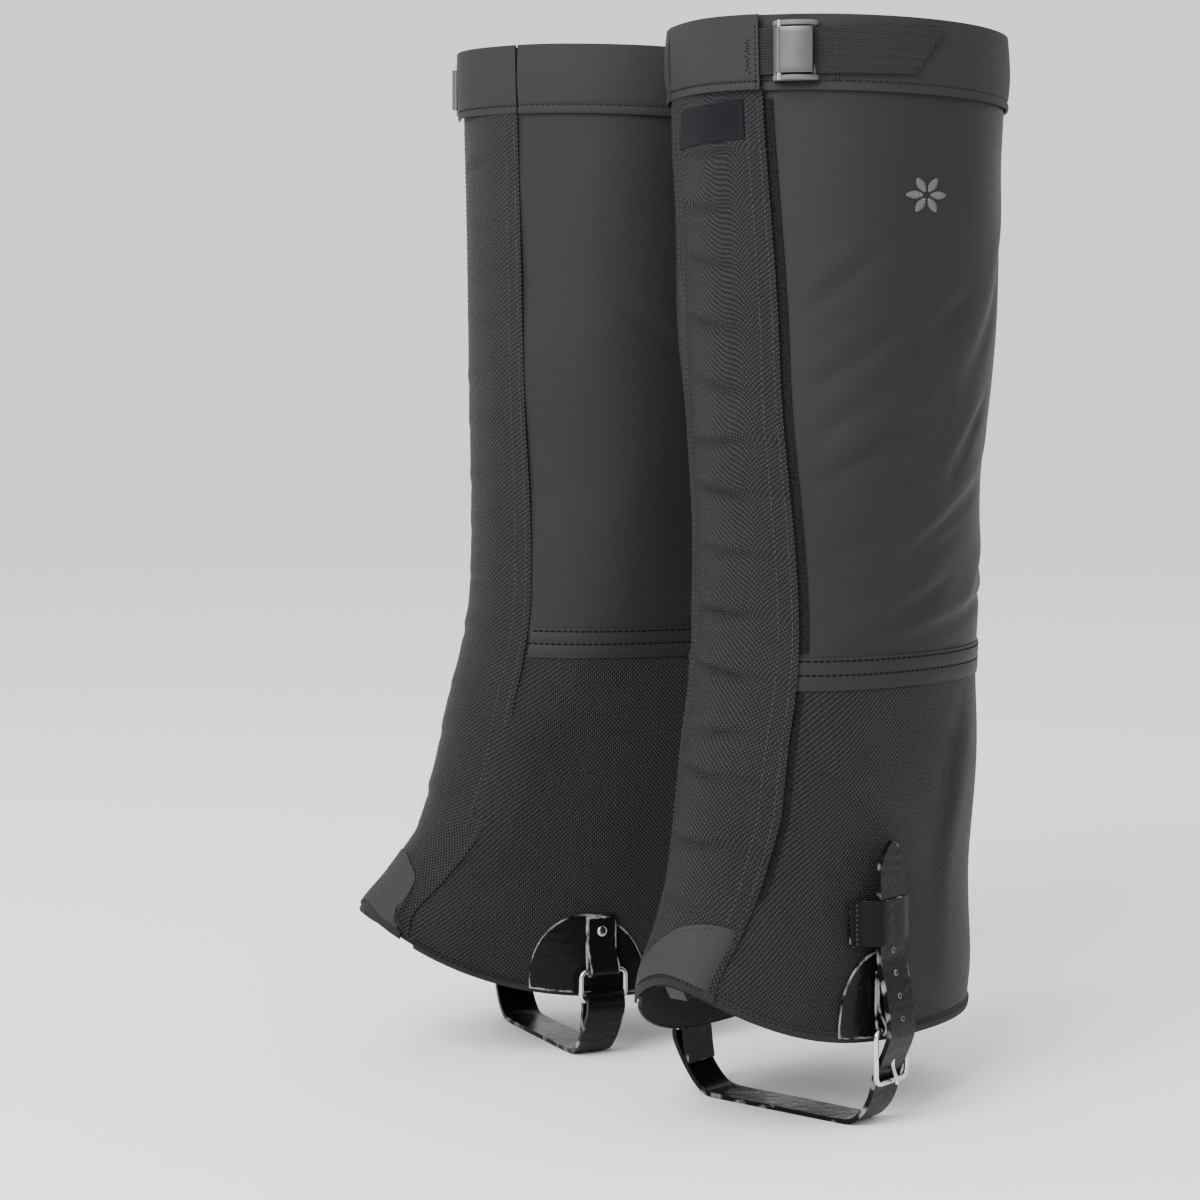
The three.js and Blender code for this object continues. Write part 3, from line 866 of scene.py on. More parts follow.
def finish_all(cloth, hardware):
    """Every material by the name that the pieces use, with the record's slot for each."""
    yarn = cloth.yarn
    return {
        "laminate": (laminate_finish("Laminate", cloth.laminate), "laminate"),
        "packcloth": (packcloth_finish("Packcloth", cloth.packcloth, yarn), "packcloth"),
        "collar": (brushed_finish("CollarCloth", cloth.collar), "collar_cloth"),
        "binding": (tape_finish("BindingTape", tinted(cloth.tape, 1.5)), "binding_tape"),
        "seam": (laminate_finish("SeamTape", tinted(cloth.laminate, 1.05)), "laminate"),
        "pile": (pile_finish("FasteningPile", cloth.tape), "fastening_tape"),
        "toe": (toe_finish("ToeCloth", cloth.toe), "toe_cloth"),
        "webbing": (webbing_finish("Webbing", cloth.webbing), "webbing"),
        "label": (label_finish("LabelSatin", cloth.label), "label_cloth"),
        "thread": (thread_finish("SeamThread", cloth.thread), "packcloth"),
        "dark_thread": (thread_finish("DarkThread", tinted(cloth.tape, 0.25)), "laminate"),
        "motif": (thread_finish("MotifThread", cloth.motif), "thread"),
        "strap": (
            worn_leather_finish("StrapLeather", hardware.strap, hardware.core, 0.26, 0.0005, 0.46),
            "strap_leather",
        ),
        "patch": (
            worn_leather_finish("PatchLeather", hardware.patch, hardware.core, 0.26, 0.0009, 0.6),
            "patch_leather",
        ),
        "keeper": (
            worn_leather_finish("KeeperLeather", hardware.keeper, hardware.core, 0.42, 0.0003, 0.45),
            "keeper_leather",
        ),
        "hole_rim": (thread_finish("HoleRim", tinted(hardware.core, 0.8)), "strap_leather"),
        # Painted shade: the dark disc inside each strap hole, the strap colour at a third
        "hole_pit": (thread_finish("HolePit", tinted(hardware.strap, 0.3)), "strap_leather"),
        "wire": (wire_finish("PolishedWire", hardware.wire), "bright_metal"),
        "blackened": (plastic_finish("BlackenedSteel", tinted(hardware.plastic, 0.12)), "bright_metal"),
        "plastic": (plastic_finish("BucklePlastic", hardware.plastic), "buckle_plastic"),
        "lever": (satin_metal_finish("LeverMetal", hardware.lever), "lever_metal"),
    }


finishes = {}


# --- piece helpers ------------------------------------------------------------------------------


def as_piece(name, mesh, look, body, sharp=math.radians(38)):
    """Turns a bmesh into a finished object that rides on a body."""
    data = bpy.data.meshes.new(name)
    mesh.to_mesh(data)
    mesh.free()
    data.shade_smooth()
    data.set_sharp_from_angle(angle=sharp)
    piece = bpy.data.objects.new(name, data)
    bpy.context.scene.collection.objects.link(piece)
    material, slot = finishes[look]
    data.materials.append(material)
    if body is not None:
        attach(piece, body)
    return piece


def write_uv(mesh, sheet, measured):
    """Stores each vertex's place on the cloth and how far it is from the edges, in metres."""
    cloth = mesh.loops.layers.uv.new("cloth")
    edge = mesh.loops.layers.uv.new("edge")
    for face in mesh.faces:
        for loop in face.loops:
            index = sheet[loop.vert]
            loop[cloth].uv = measured[index][:2]
            loop[edge].uv = measured[index][2:]


def measure(points, columns, rows, anchor):
    """Lengths along the cloth for a grid of points, from an anchor column and the first row, then the
    distances to the nearer side edge and to the nearer end."""
    measured = {}
    for j in range(rows + 1):
        run = 0.0
        lengths = []
        for i in range(columns + 1):
            if i:
                run += (points[i, j] - points[i - 1, j]).length
            lengths.append(run)
        for i in range(columns + 1):
            measured[i, j] = [lengths[i] - lengths[anchor], 0.0, min(lengths[i], run - lengths[i]), 0.0]
    for i in range(columns + 1):
        run = 0.0
        for j in range(1, rows + 1):
            run += (points[i, j] - points[i, j - 1]).length
            measured[i, j][1] = run
        for j in range(rows + 1):
            measured[i, j][3] = min(measured[i, j][1], run - measured[i, j][1])
    return measured


def grid_sheet(place, columns, rows, thick, anchor=0, flipped=False):
    """A cloth or leather sheet: place(a, b) gives the inner face for shares across and up."""
    mesh = bmesh.new()
    bmesh.ops.create_grid(mesh, x_segments=columns, y_segments=rows, size=0.5)
    sheet = {}
    points = {}
    for vert in mesh.verts:
        index = (round((vert.co.x + 0.5) * columns), round((vert.co.y + 0.5) * rows))
        sheet[vert] = index
        vert.co = place(index[0] / columns, index[1] / rows)
        points[index] = vert.co.copy()
    write_uv(mesh, sheet, measure(points, columns, rows, anchor))
    if flipped:
        bmesh.ops.reverse_faces(mesh, faces=mesh.faces)
    mesh.normal_update()
    bmesh.ops.solidify(mesh, geom=mesh.faces, thickness=-thick * MM)
    bmesh.ops.recalc_face_normals(mesh, faces=mesh.faces)
    return mesh


def cloth_band(leg, edges, ends, lift, columns, rows, thick, anchor=0):
    """A sheet on the tube between two side edges (by height) and two ends (by angle)."""
    left, right = edges
    low, high = ends

    def place(a, b):
        guess = between(low(0), high(0), b)
        roughly = between(left(guess), right(guess), a)
        z = between(low(roughly), high(roughly), b)
        u = between(left(z), right(z), a)
        return leg.at(u, z, lift(u, z, a, b))

    return grid_sheet(place, columns, rows, thick, anchor, leg.mirror < 0)


def around(leg, gap):
    """Side edges of a band that wraps the leg from the underlap to the flap's sewn edge."""
    right = lambda z: leg.sewn(z) + 2 * math.pi - gap / leg.plan(z)[0]
    return leg.past_free(-UNDERLAP), right


def always(value):
    """A function that gives the same value everywhere."""
    return lambda *_: value


def thread_bead(mesh, centre, along, out, size, subdivisions=1):
    """One short length of thread that lies on a surface."""
    side = out.cross(along).normalized()
    turn = Matrix((along, side, out)).transposed().to_4x4()
    shape = Matrix.Diagonal((*size, 1))
    bmesh.ops.create_icosphere(
        mesh, subdivisions=subdivisions, radius=1, matrix=Matrix.Translation(centre) @ turn @ shape
    )


def stitches(name, routes, look, pitch, length, thick, body):
    """Rows of stitches. A route is a list of (place, outwards) that they follow."""
    mesh = bmesh.new()
    for route in routes:
        walked = 0.0
        for (here, out), (there, _) in zip(route, route[1:]):
            step = (there - here).length
            while walked < step:
                centre = here.lerp(there, walked / step)
                along = (there - here).normalized()
                thread_bead(mesh, centre, along, out, (length / 2, thick / 2, thick / 2.4))
                walked += pitch
            walked -= step
    return as_piece(name, mesh, look, body, math.radians(180))


def seam_route(leg, spots, lift):
    """Places along a seam, from (angle, height) spots, at a lift that is a function of both."""
    return [(leg.at(u, z, lift(u, z)), leg.outwards(u, z)) for u, z in spots]


def swept_tube(mesh, points, radius, sides, closed=False):
    """A round wire along points: one ring of vertices at each, bridged to the next."""
    rings = []
    count = len(points)
    across = None
    for i, point in enumerate(points):
        before = points[(i - 1) % count] if closed or i else points[i]
        after = points[(i + 1) % count] if closed or i < count - 1 else points[i]
        along = (after - before).normalized()
        if across is None:
            across = along.orthogonal().normalized()
        across = (across - along * across.dot(along)).normalized()
        turn = Matrix((across, along.cross(across), along)).transposed().to_4x4()
        made = bmesh.ops.create_circle(
            mesh, segments=sides, radius=radius, matrix=Matrix.Translation(point) @ turn
        )
        rings.append(list({edge for vert in made["verts"] for edge in vert.link_edges}))
    pairs = list(zip(rings, rings[1:]))
    if closed:
        pairs.append((rings[-1], rings[0]))
    for first, second in pairs:
        bmesh.ops.bridge_loops(mesh, edges=first + second)
    if not closed:
        for ring in (rings[0], rings[-1]):
            bmesh.ops.contextual_create(mesh, geom=ring)
    bmesh.ops.recalc_face_normals(mesh, faces=mesh.faces)


def even_points(points, step):
    """A smooth line through given points, with a point every step."""
    dense = []
    last = len(points) - 1
    for i in range(last):
        p0, p1 = points[max(i - 1, 0)], points[i]
        p2, p3 = points[i + 1], points[min(i + 2, last)]
        pieces = max(2, math.ceil((p2 - p1).length / step))
        m1 = (p2 - p0) * (p2 - p1).length / max((p2 - p0).length, 1e-9)
        m2 = (p3 - p1) * (p2 - p1).length / max((p3 - p1).length, 1e-9)
        dense += [curved(k / pieces, p1, m1, p2, m2) for k in range(pieces)]
    dense.append(points[last].copy())
    return dense


def softened(mesh, width, segments, angle=math.radians(40)):
    """Rounds the corners of a hard piece."""
    edges = [edge for edge in mesh.edges if edge.is_manifold and edge.calc_face_angle(0) > angle]
    bmesh.ops.bevel(
        mesh, geom=edges, offset=width * MM, segments=segments, profile=0.5, affect="EDGES",
        material=-1, clamp_overlap=True,
    )


def cuboid(mesh, size, centre):
    """A box in millimetres."""
    shape = Matrix.Diagonal((*size, 1))
    made = bmesh.ops.create_cube(mesh, size=1, matrix=Matrix.Translation(centre) @ shape)
    bmesh.ops.scale(mesh, vec=(MM, MM, MM), verts=made["verts"])
    return made["verts"]


def join(mesh, part):
    """Adds a finished part to a piece's mesh."""
    held = bpy.data.meshes.new("part")
    part.to_mesh(held)
    part.free()
    mesh.from_mesh(held)
    bpy.data.meshes.remove(held)


def set_on(leg, mesh):
    """Moves a piece drawn for the unturned left gaiter, in metres, onto its leg."""
    bmesh.ops.transform(mesh, matrix=leg.matrix(), verts=mesh.verts)
    if leg.mirror < 0:
        bmesh.ops.reverse_faces(mesh, faces=mesh.faces)


def with_flap(leg, piece):
    """Works out the strip just past a flap piece's hinge line and bakes the piece's placing into its mesh;
    nothing makes the piece bend.
    """
    hinge = next(joint for joint in frame["joints"] if joint["name"] == f"{leg.name}_flap_peel")
    line = Vector(hinge["axis"]).normalized()
    across = leg.at(leg.free(300), 300) - leg.at(leg.sewn(300), 300)
    across = (across - line * across.dot(line)).normalized()
    start, end = (Vector(hinge["pos_m"]) + across * mm * MM for mm in BEND)
    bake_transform(piece)
    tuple(start)
    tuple(end)


# --- cloth --------------------------------------------------------------------------------------


def flap_lift(leg, u, z):
    """Inner face of the flap: on the panel at its sewn edge, over the tapes at its free edge."""
    a = leg.flap_share(u, z)
    climbed = between(1.15, 2.6, smooth(0.05, 0.6, a))
    curled = 1.3 * smooth(0.86, 1.0, a) * (1 - smooth(96, 112, z))
    return climbed - curled


def flap_relief(leg, u, z):
    """Short cross wrinkles between the flap's stitched edges."""
    a = leg.flap_share(u, z)
    middle = smooth(0.08, 0.34, a) * (1 - smooth(0.62, 0.94, a))
    ends = smooth(-2, 22, z - hem_at(u)) * (1 - smooth(418, 440, z))
    total = 1.9 * middle * leg.wrinkled
    for step in range(15):
        dice = random.Random(100 * leg.seed + step)
        level = 96 + 24.5 * step + 7 * dice.random()
        lean = 10 * (dice.random() - 0.75)
        height = (1.8 + 1.2 * dice.random()) * leg.wrinkled
        centre = 0.38 + 0.2 * dice.random()
        off = z - level - lean * (a - centre) * 2
        reach = bump(a - centre, 0.33)
        total += height * reach * middle * (0.7 * bump(off - 4.5, 5) - bump(off, 2.8))
    return max(-0.5, total * ends)


def flap_outer(leg, u, z):
    """Outer face of the flap."""
    return flap_lift(leg, u, z) + flap_relief(leg, u, z) + 1.0


def collar_lift(leg, u, z):
    """Inner face of the collar: a soft crown, a folded lower edge and shallow gathers."""
    up = (z - rim_at(u) + COLLAR_HEIGHT) / COLLAR_HEIGHT
    crown = 0.9 * math.sin(math.pi * clamp01(up))
    fold = 0.7 * bump((up - 0.03) * COLLAR_HEIGHT, 1.6) - 0.5 * bump((up - 0.115) * COLLAR_HEIGHT, 0.9)
    spot = Vector((math.cos(u) * 3.2, math.sin(u) * 3.2, z / 45)) + Vector((leg.seed * 3, 0, 0))
    gather = 0.8 * noise.noise(spot) * math.sin(math.pi * clamp01(up))
    return 1.2 + crown + fold + gather


def seam_tape_lift(z):
    """Inner face of the seam tape, with two soft rolls between its stitched lines."""
    down = SEAM + 5 - z
    puffed = 0.35 * abs(math.sin(math.pi * (down - 1.5) / 6)) if 1.5 < down < 13.5 else 0
    return 1.05 + puffed


def make_panels(leg):
    body = f"{leg.name}_gaiter"
    edges = around(leg, -7)
    lift = lambda u, z, a, b: leg.relief(u, z)
    high = lambda u: rim_at(u) - 1
    middle = ROUND // 2
    mesh = cloth_band(leg, edges, (always(SEAM - 3), high), lift, ROUND, 116, 0.9, middle)
    upper = as_piece(f"{leg.name}_upper_cloth", mesh, "laminate", body)
    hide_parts(f"{leg.name}_upper_panel")
    low = lambda u: hem_at(u) + 1
    mesh = cloth_band(leg, edges, (low, always(SEAM + 2)), lift, ROUND, 70, 0.95, middle)
    lower = as_piece(f"{leg.name}_lower_cloth", mesh, "packcloth", body)
    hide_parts(f"{leg.name}_lower_panel")


def make_bands(leg):
    """Seam tape, collar and hem binding; their stitching is made by make_band_stitches."""
    body = f"{leg.name}_gaiter"
    edges = around(leg, 1.4)
    over = lambda u, z, a, b: seam_tape_lift(z) + leg.relief(u, z)
    ends = (always(SEAM - 9), always(SEAM + 5))
    tape = as_piece(
        f"{leg.name}_seam_cover", cloth_band(leg, edges, ends, over, ROUND, 18, 0.5), "seam", body
    )
    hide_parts(f"{leg.name}_seam_tape")

    low = lambda u: rim_at(u) - COLLAR_HEIGHT
    soft = lambda u, z, a, b: collar_lift(leg, u, z)
    band = as_piece(
        f"{leg.name}_collar_band", cloth_band(leg, edges, (low, rim_at), soft, ROUND, 40, 1.0),
        "collar", body,
    )
    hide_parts(f"{leg.name}_collar")

    high = lambda u: hem_at(u) + BINDING
    rolled = lambda u, z, a, b: 0.15 + 0.45 * math.sin(math.pi * b)
    hem = as_piece(
        f"{leg.name}_hem_tape", cloth_band(leg, edges, (hem_at, high), rolled, ROUND, 6, 1.1),
        "binding", body,
    )
    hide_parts(f"{leg.name}_hem_binding")


def rounds(leg, height):
    """Spots right round the leg, at a height that is a function of the angle."""
    steps, inset = 360, 0.02
    z0 = height(math.pi)
    start, stop = leg.free(z0) + inset, leg.sewn(z0) + 2 * math.pi - inset
    angles = [between(start, stop, i / steps) for i in range(steps + 1)]
    return [(u, height(u)) for u in angles]


def make_band_stitches(leg):
    """Stitch lines of the seam tape, collar and hem, with a short tack beside the flap."""
    body = f"{leg.name}_gaiter"
    pitch = bpy.context.scene.gaiter_cloth.stitch
    over = lambda u, z: seam_tape_lift(z) + leg.relief(u, z) + 0.55
    routes = [seam_route(leg, rounds(leg, always(level)), over) for level in (SEAM + 3.5, SEAM - 2.5)]
    stitches(f"{leg.name}_seam_stitches", routes, "dark_thread", pitch, pitch * 0.95, 0.95 * MM, body)
    soft = lambda u, z: collar_lift(leg, u, z) + 1.0
    line = lambda u: rim_at(u) - COLLAR_HEIGHT + 3.7
    routes = [seam_route(leg, rounds(leg, line), soft)]
    tack = leg.free(446) + 0.42
    for aside in (0, 0.022):
        spots = [(tack + aside, rim_at(tack) - COLLAR_HEIGHT + 4 + step) for step in range(10)]
        routes.append(seam_route(leg, spots, soft))
    stitches(f"{leg.name}_collar_stitches", routes, "dark_thread", pitch, pitch * 0.75, 0.6 * MM, body)
    line = lambda u: hem_at(u) + BINDING - 1.0
    routes = [seam_route(leg, rounds(leg, line), always(1.75))]
    stitches(f"{leg.name}_hem_stitches", routes, "dark_thread", pitch, pitch * 0.7, 0.45 * MM, body)


def make_tapes(leg):
    """Hook tape along the panel edge, loop tape under the flap."""
    body = f"{leg.name}_gaiter"
    edges = (leg.past_free(-UNDERLAP + 3), leg.past_free(TAPE_SHOWS))
    ends = (always(SEAM + 7), always(RIM - COLLAR_HEIGHT - 1))
    fuzz = lambda u, z, a, b: 1.0 + 0.25 * noise.noise(Vector((u * 60, z / 1.3, 0)))
    hook = as_piece(f"{leg.name}_hook_pile", cloth_band(leg, edges, ends, fuzz, 26, 150, 0.7), "pile", body)
    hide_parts(f"{leg.name}_hook_tape")
    ends = (always(102), always(SEAM - 10))
    low_hook = as_piece(
        f"{leg.name}_low_hook_pile",
        cloth_band(leg, (leg.past_free(-UNDERLAP + 3), leg.past_free(2.4)), ends, fuzz, 26, 60, 0.7),
        "pile",
        body,
    )
    edges = (leg.past_free(-19), leg.past_free(-1))
    ends = (always(SEAM + 7), always(RIM - COLLAR_HEIGHT - 5))
    loop = as_piece(
        f"{leg.name}_loop_pile", cloth_band(leg, edges, ends, always(1.85), 14, 80, 0.6), "pile", None
    )
    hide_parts(f"{leg.name}_loop_tape")
    with_flap(leg, loop)


def make_flap(leg):
    """The front flap with its hem, and the collar piece that covers its top."""
    edges = (leg.sewn, leg.free)
    low = lambda u: hem_at(u) + BINDING
    high = lambda u: rim_at(u) - COLLAR_HEIGHT + 2
    lift = lambda u, z, a, b: flap_lift(leg, u, z) + flap_relief(leg, u, z)
    mesh = cloth_band(leg, edges, (low, high), lift, 40, 230, 1.0)
    flap = as_piece(f"{leg.name}_flap_cloth", mesh, "packcloth", None)
    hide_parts(f"{leg.name}_front_flap")
    with_flap(leg, flap)

    low = lambda u: rim_at(u) - COLLAR_HEIGHT
    thick = lambda u, z, a, b: (
        flap_collar_lift(leg, u, z) - 0.5 * bump(z - rim_at(u) + COLLAR_HEIGHT - 3.4, 0.9)
    )
    mesh = cloth_band(leg, edges, (low, rim_at), thick, 40, 40, 1.1)
    top = as_piece(f"{leg.name}_flap_collar_cloth", mesh, "collar", None)
    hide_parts(f"{leg.name}_flap_collar")
    with_flap(leg, top)

    ends = (lambda u: hem_at(u) + 0.8, lambda u: hem_at(u) + BINDING + 1)
    binding = cloth_band(leg, (lambda z: leg.sewn(z) + 0.05, leg.free), ends, always(1.7), 40, 6, 1.3)
    toe_edge = as_piece(f"{leg.name}_flap_hem_tape", binding, "binding", None)
    with_flap(leg, toe_edge)


def flap_collar_lift(leg, u, z):
    """Inner face of the flap's collar, which climbs over the webbing."""
    a = leg.flap_share(u, z)
    climbed = between(1.5, 5.3, smooth(0.1, 0.75, a))
    up = clamp01((z - rim_at(u) + COLLAR_HEIGHT) / COLLAR_HEIGHT)
    return climbed + 0.5 * math.sin(math.pi * up) * math.sin(math.pi * clamp01(a))


def make_flap_stitches(leg):
    """Two double rows down the flap, and the stitching of its collar."""
    pitch = bpy.context.scene.gaiter_cloth.stitch
    over = lambda u, z: flap_outer(leg, u, z)
    lowest = HEM_SIDE + HEM_TOE_RISE + 6
    routes = []
    for mm in (-FLAP_HALF + 2.2, -FLAP_HALF + 7.5, FLAP_HALF - 7.8, FLAP_HALF - 2.4):
        spots = [(leg.edge(z, mm), z) for z in range(lowest, 442, 2)]
        routes.append(seam_route(leg, spots, over))
    row = stitches(
        f"{leg.name}_flap_stitches", routes, "thread", pitch * 0.8, pitch * 0.52, 0.6 * MM, None
    )
    with_flap(leg, row)
    cover = lambda u, z: flap_collar_lift(leg, u, z) + 1.12
    line = [
        (leg.edge(445, mm), rim_at(leg.edge(445, mm)) - COLLAR_HEIGHT + 3.4)
        for mm in range(-FLAP_HALF + 1, FLAP_HALF)
    ]
    upright = [(leg.edge(z, FLAP_HALF - 1.4), z) for z in range(446, 474)]
    zigzag = [(leg.edge(z, FLAP_HALF - 4 - (z % 2) * 1.6), z) for z in range(452, 468)]
    routes = [seam_route(leg, spots, cover) for spots in (line, upright, zigzag)]
    row = stitches(
        f"{leg.name}_flap_collar_stitches", routes, "dark_thread", pitch * 0.8, pitch * 0.6, 0.55 * MM, None
    )
    with_flap(leg, row)


def make_toe_patch(leg):
    """The paler patch over the toe of the flap, turned over its free edge. Its sewn-side corner is
    rounded."""
    edges = (lambda z: leg.edge(z, -FLAP_HALF + 5), lambda z: leg.free(z) + 0.012)
    low = lambda u: hem_at(u) + BINDING + 1
    tall = lambda u: between(leg.toe_height, 24, smooth(-30, 26, math.degrees(u)))
    rounded = lambda u: clamp01((u - leg.edge(80, -FLAP_HALF + 5)) / TOE_CORNER)
    high = lambda u: low(u) + tall(u) * math.sqrt(1 - 0.9 * (1 - rounded(u)) ** 2)
    lift = lambda u, z, a, b: flap_outer(leg, u, z) + 0.05 - 2.2 * smooth(0.9, 1.0, a)
    patch = as_piece(
        f"{leg.name}_toe_cloth", cloth_band(leg, edges, (low, high), lift, 44, 20, 0.7), "toe", None
    )
    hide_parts(f"{leg.name}_toe_patch")
    with_flap(leg, patch)
    pitch = bpy.context.scene.gaiter_cloth.stitch
    spots = [(leg.edge(80, mm), high(leg.edge(80, mm)) - 1.4) for mm in range(-26, 22)]
    over = lambda u, z: flap_outer(leg, u, z) + 0.75
    row = stitches(
        f"{leg.name}_toe_stitches", [seam_route(leg, spots, over)], "dark_thread",
        pitch * 0.8, pitch * 0.55, 0.4 * MM, None,
    )
    with_flap(leg, row)


def make_label(leg):
    """The plain woven label at the top of the flap, hung a little askew."""
    edges = (lambda z: leg.edge(z, -FLAP_HALF + 14), lambda z: leg.edge(z, FLAP_HALF - 9))
    foot = lambda u: 420 + 5.0 * leg.flap_share(u, 430)
    top = lambda u: foot(u) + 17
    lift = lambda u, z, a, b: flap_outer(leg, u, z) + 0.06
    label = as_piece(
        f"{leg.name}_label_satin", cloth_band(leg, edges, (foot, top), lift, 30, 14, 0.45), "label", None
    )
    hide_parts(f"{leg.name}_woven_label")
    with_flap(leg, label)


def make_motif(leg):
    """A small generic motif of satin stitch: a ring of six plain petals."""
    centre = leg.free(WEB_Z) + MOTIF_PAST_EDGE
    routes = []
    for petal in range(6):
        turn = math.pi * petal / 3
        for row in range(9):
            reach = 2.0 + 0.72 * row
            half = 1.7 * math.sin(math.pi * (row + 1) / 10)
            spots = []
            for end in (-half, half):
                x = reach * math.cos(turn) - end * math.sin(turn)
                z = reach * math.sin(turn) + end * math.cos(turn)
                spots.append((centre + 1.25 * x / 71, MOTIF_HEIGHT + z))
            routes.append(seam_route(leg, spots, lambda u, z: leg.relief(u, z) + 1.15))
    mesh = bmesh.new()
    for (start, out), (stop, _) in routes:
        along = (stop - start).normalized()
        size = ((stop - start).length / 2 + 0.3 * MM, 0.5 * MM, 0.42 * MM)
        thread_bead(mesh, (start + stop) / 2, along, out, size, 2)
    motif = as_piece(f"{leg.name}_motif", mesh, "motif", f"{leg.name}_gaiter", math.radians(180))
    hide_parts(f"{leg.name}_embroidery")


# --- straps and hardware ------------------------------------------------------------------------


def make_side_patches(leg):
    """Half-moon patches at the hem, one on each side."""
    body = f"{leg.name}_gaiter"
    for word, centre, half in (
        ("outer", PATCH_ANGLE, math.radians(11)), ("inner", -PATCH_ANGLE, math.radians(12.5)),
    ):
        low = lambda u: hem_at(u) + BINDING * 0.4
        arch = lambda u: math.sqrt(max(0.0, 1 - ((u - centre) / half) ** 2))
        ends = (low, lambda u: low(u) + 5 + 32 * arch(u))
        edges = (always(centre - half), always(centre + half))
        mesh = cloth_band(leg, edges, ends, always(1.6), 44, 26, 1.1)
        patch = as_piece(f"{leg.name}_{word}_moon", mesh, "patch", body)
        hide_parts(f"{leg.name}_{word}_patch")


def strip_along(path, width, rows_across, thick, taper=None):
    """A flat strap across Y that follows a line in the X-Z plane, drawn for the left gaiter."""
    line = even_points([Vector((x, STRAP_Y, z)) for x, z in path], 1.2)
    normals = []
    for i in range(len(line)):
        along = (line[min(i + 1, len(line) - 1)] - line[max(i - 1, 0)]).normalized()
        normals.append(Vector((along.z, 0, -along.x)))

    def place(a, b):
        i = round(b * (len(line) - 1))
        half = width / 2 * (taper(line[i].z, line[i].x) if taper else 1)
        shift = Vector((0, (a - 0.5) * 2 * half, 0))
        return (line[i] + shift - normals[i] * thick / 2) * MM

    return grid_sheet(place, rows_across, len(line) - 1, thick)


def strap_taper(z, x):
    """Narrows the free end of the strap to a rounded point."""
    if x < 0 or z < STRAP_SHOULDER:
        return 1.0
    t = clamp01((z - STRAP_SHOULDER) / (STRAP_TIP - STRAP_SHOULDER))
    return max(0.02, (1 - t**1.6) ** 0.75)


def make_instep_strap(leg):
    """The strap, from its fold at the inner ring, below the foot and up to its free tip."""
    mesh = strip_along(STRAP_FOLD + STRAP_LINE[1:], STRAP_WIDTH, 8, STRAP_THICK, strap_taper)
    softened(mesh, 0.4, 1, math.radians(60))
    set_on(leg, mesh)
    strap = as_piece(f"{leg.name}_strap_leather", mesh, "strap", f"{leg.name}_gaiter")
    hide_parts(f"{leg.name}_instep_strap")


def strap_front(z):
    """Outer face of the strap's upright end at a height, from the line it follows."""
    for (x0, z0), (x1, z1) in zip(STRAP_LINE[UPRIGHT_FROM:], STRAP_LINE[UPRIGHT_FROM + 1:]):
        if z0 <= z <= z1:
            t = (z - z0) / (z1 - z0)
            lean = math.atan2(x1 - x0, z1 - z0)
            return between(x0, x1, t) + STRAP_THICK / 2 / math.cos(lean), lean
    return STRAP_LINE[-1][0] + STRAP_THICK / 2, 0.0


def make_strap_holes(leg):
    """Punched holes: a pale pressed rim round a dark disc. The disc is painted shade that stands in for the
    hole's depth; the strap itself is not cut through.
    """
    # The inner discs are painted shade for holes that are not cut
    for word, look, outer, depth in (("rims", "hole_rim", 1.0, 0.16), ("pits", "hole_pit", 0.72, 0.22)):
        mesh = bmesh.new()
        for step in range(HOLES):
            z = LOWEST_HOLE + HOLE_PITCH * step
            x, lean = strap_front(z)
            turn = Matrix.Rotation(lean, 4, "Y") @ Matrix.Rotation(math.pi / 2, 4, "Y")
            bmesh.ops.create_cone(
                mesh, cap_ends=True, segments=20, radius1=HOLE_RADIUS * outer * MM,
                radius2=HOLE_RADIUS * (outer - 0.12) * MM, depth=2 * depth * MM,
                matrix=Matrix.Translation(Vector((x, STRAP_Y, z)) * MM) @ turn,
            )
        set_on(leg, mesh)
        as_piece(f"{leg.name}_strap_hole_{word}", mesh, look, f"{leg.name}_gaiter")


def make_keeper(leg):
    """The loop that holds the strap's free end, with a row of stitches on each side."""
    line = even_points(
        [Vector((x, y, 0)) for x, y in (
            (52.6, -19.6), (53.2, -22.0), (54.9, -24.6), (56.4, -27.0), (56.7, -36), (56.4, -45.0),
            (53.6, -48.6), (49.4, -51.6), (47.6, -56.5),
        )],
        0.9,
    )

    def place(a, b):
        point = line[round(a * (len(line) - 1))]
        return Vector((point.x - 0.5, point.y, 79 + 19.5 * b)) * MM

    mesh = grid_sheet(place, len(line) - 1, 10, 1.0)
    softened(mesh, 0.25, 1, math.radians(60))
    set_on(leg, mesh)
    piece = as_piece(f"{leg.name}_keeper_leather", mesh, "keeper", f"{leg.name}_gaiter")
    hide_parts(f"{leg.name}_strap_keeper")
    rows = bmesh.new()
    for x, y, lean in ((53.7, -21.6, 0.4), (48.9, -54.2, -0.35)):
        for step in range(9):
            turn = Matrix.Rotation(lean, 4, "Z")
            shape = Matrix.Diagonal((0.28 * MM, 0.3 * MM, 0.75 * MM, 1))
            centre = Vector((x, y, 80.6 + 2.05 * step)) * MM
            bmesh.ops.create_icosphere(
                rows, subdivisions=1, radius=1, matrix=Matrix.Translation(centre) @ turn @ shape
            )
    set_on(leg, rows)
    as_piece(f"{leg.name}_keeper_stitches", rows, "thread", f"{leg.name}_gaiter", math.radians(180))


def rounded_loop(x, top, drop, width, radius):
    """Centre line of a wire frame stood in the Y-Z plane."""
    points = []
    for cy, cz, start in (
        (width / 2 - radius, top - drop + radius, -90), (width / 2 - radius, top - radius, 0),
        (-width / 2 + radius, top - radius, 90), (-width / 2 + radius, top - drop + radius, 180),
    ):
        for step in range(6):
            turn = math.radians(start + 18 * step)
            points.append(Vector((
                x, STRAP_Y + cy + radius * math.cos(turn), cz + radius * math.sin(turn)
            )) * MM)
    return points


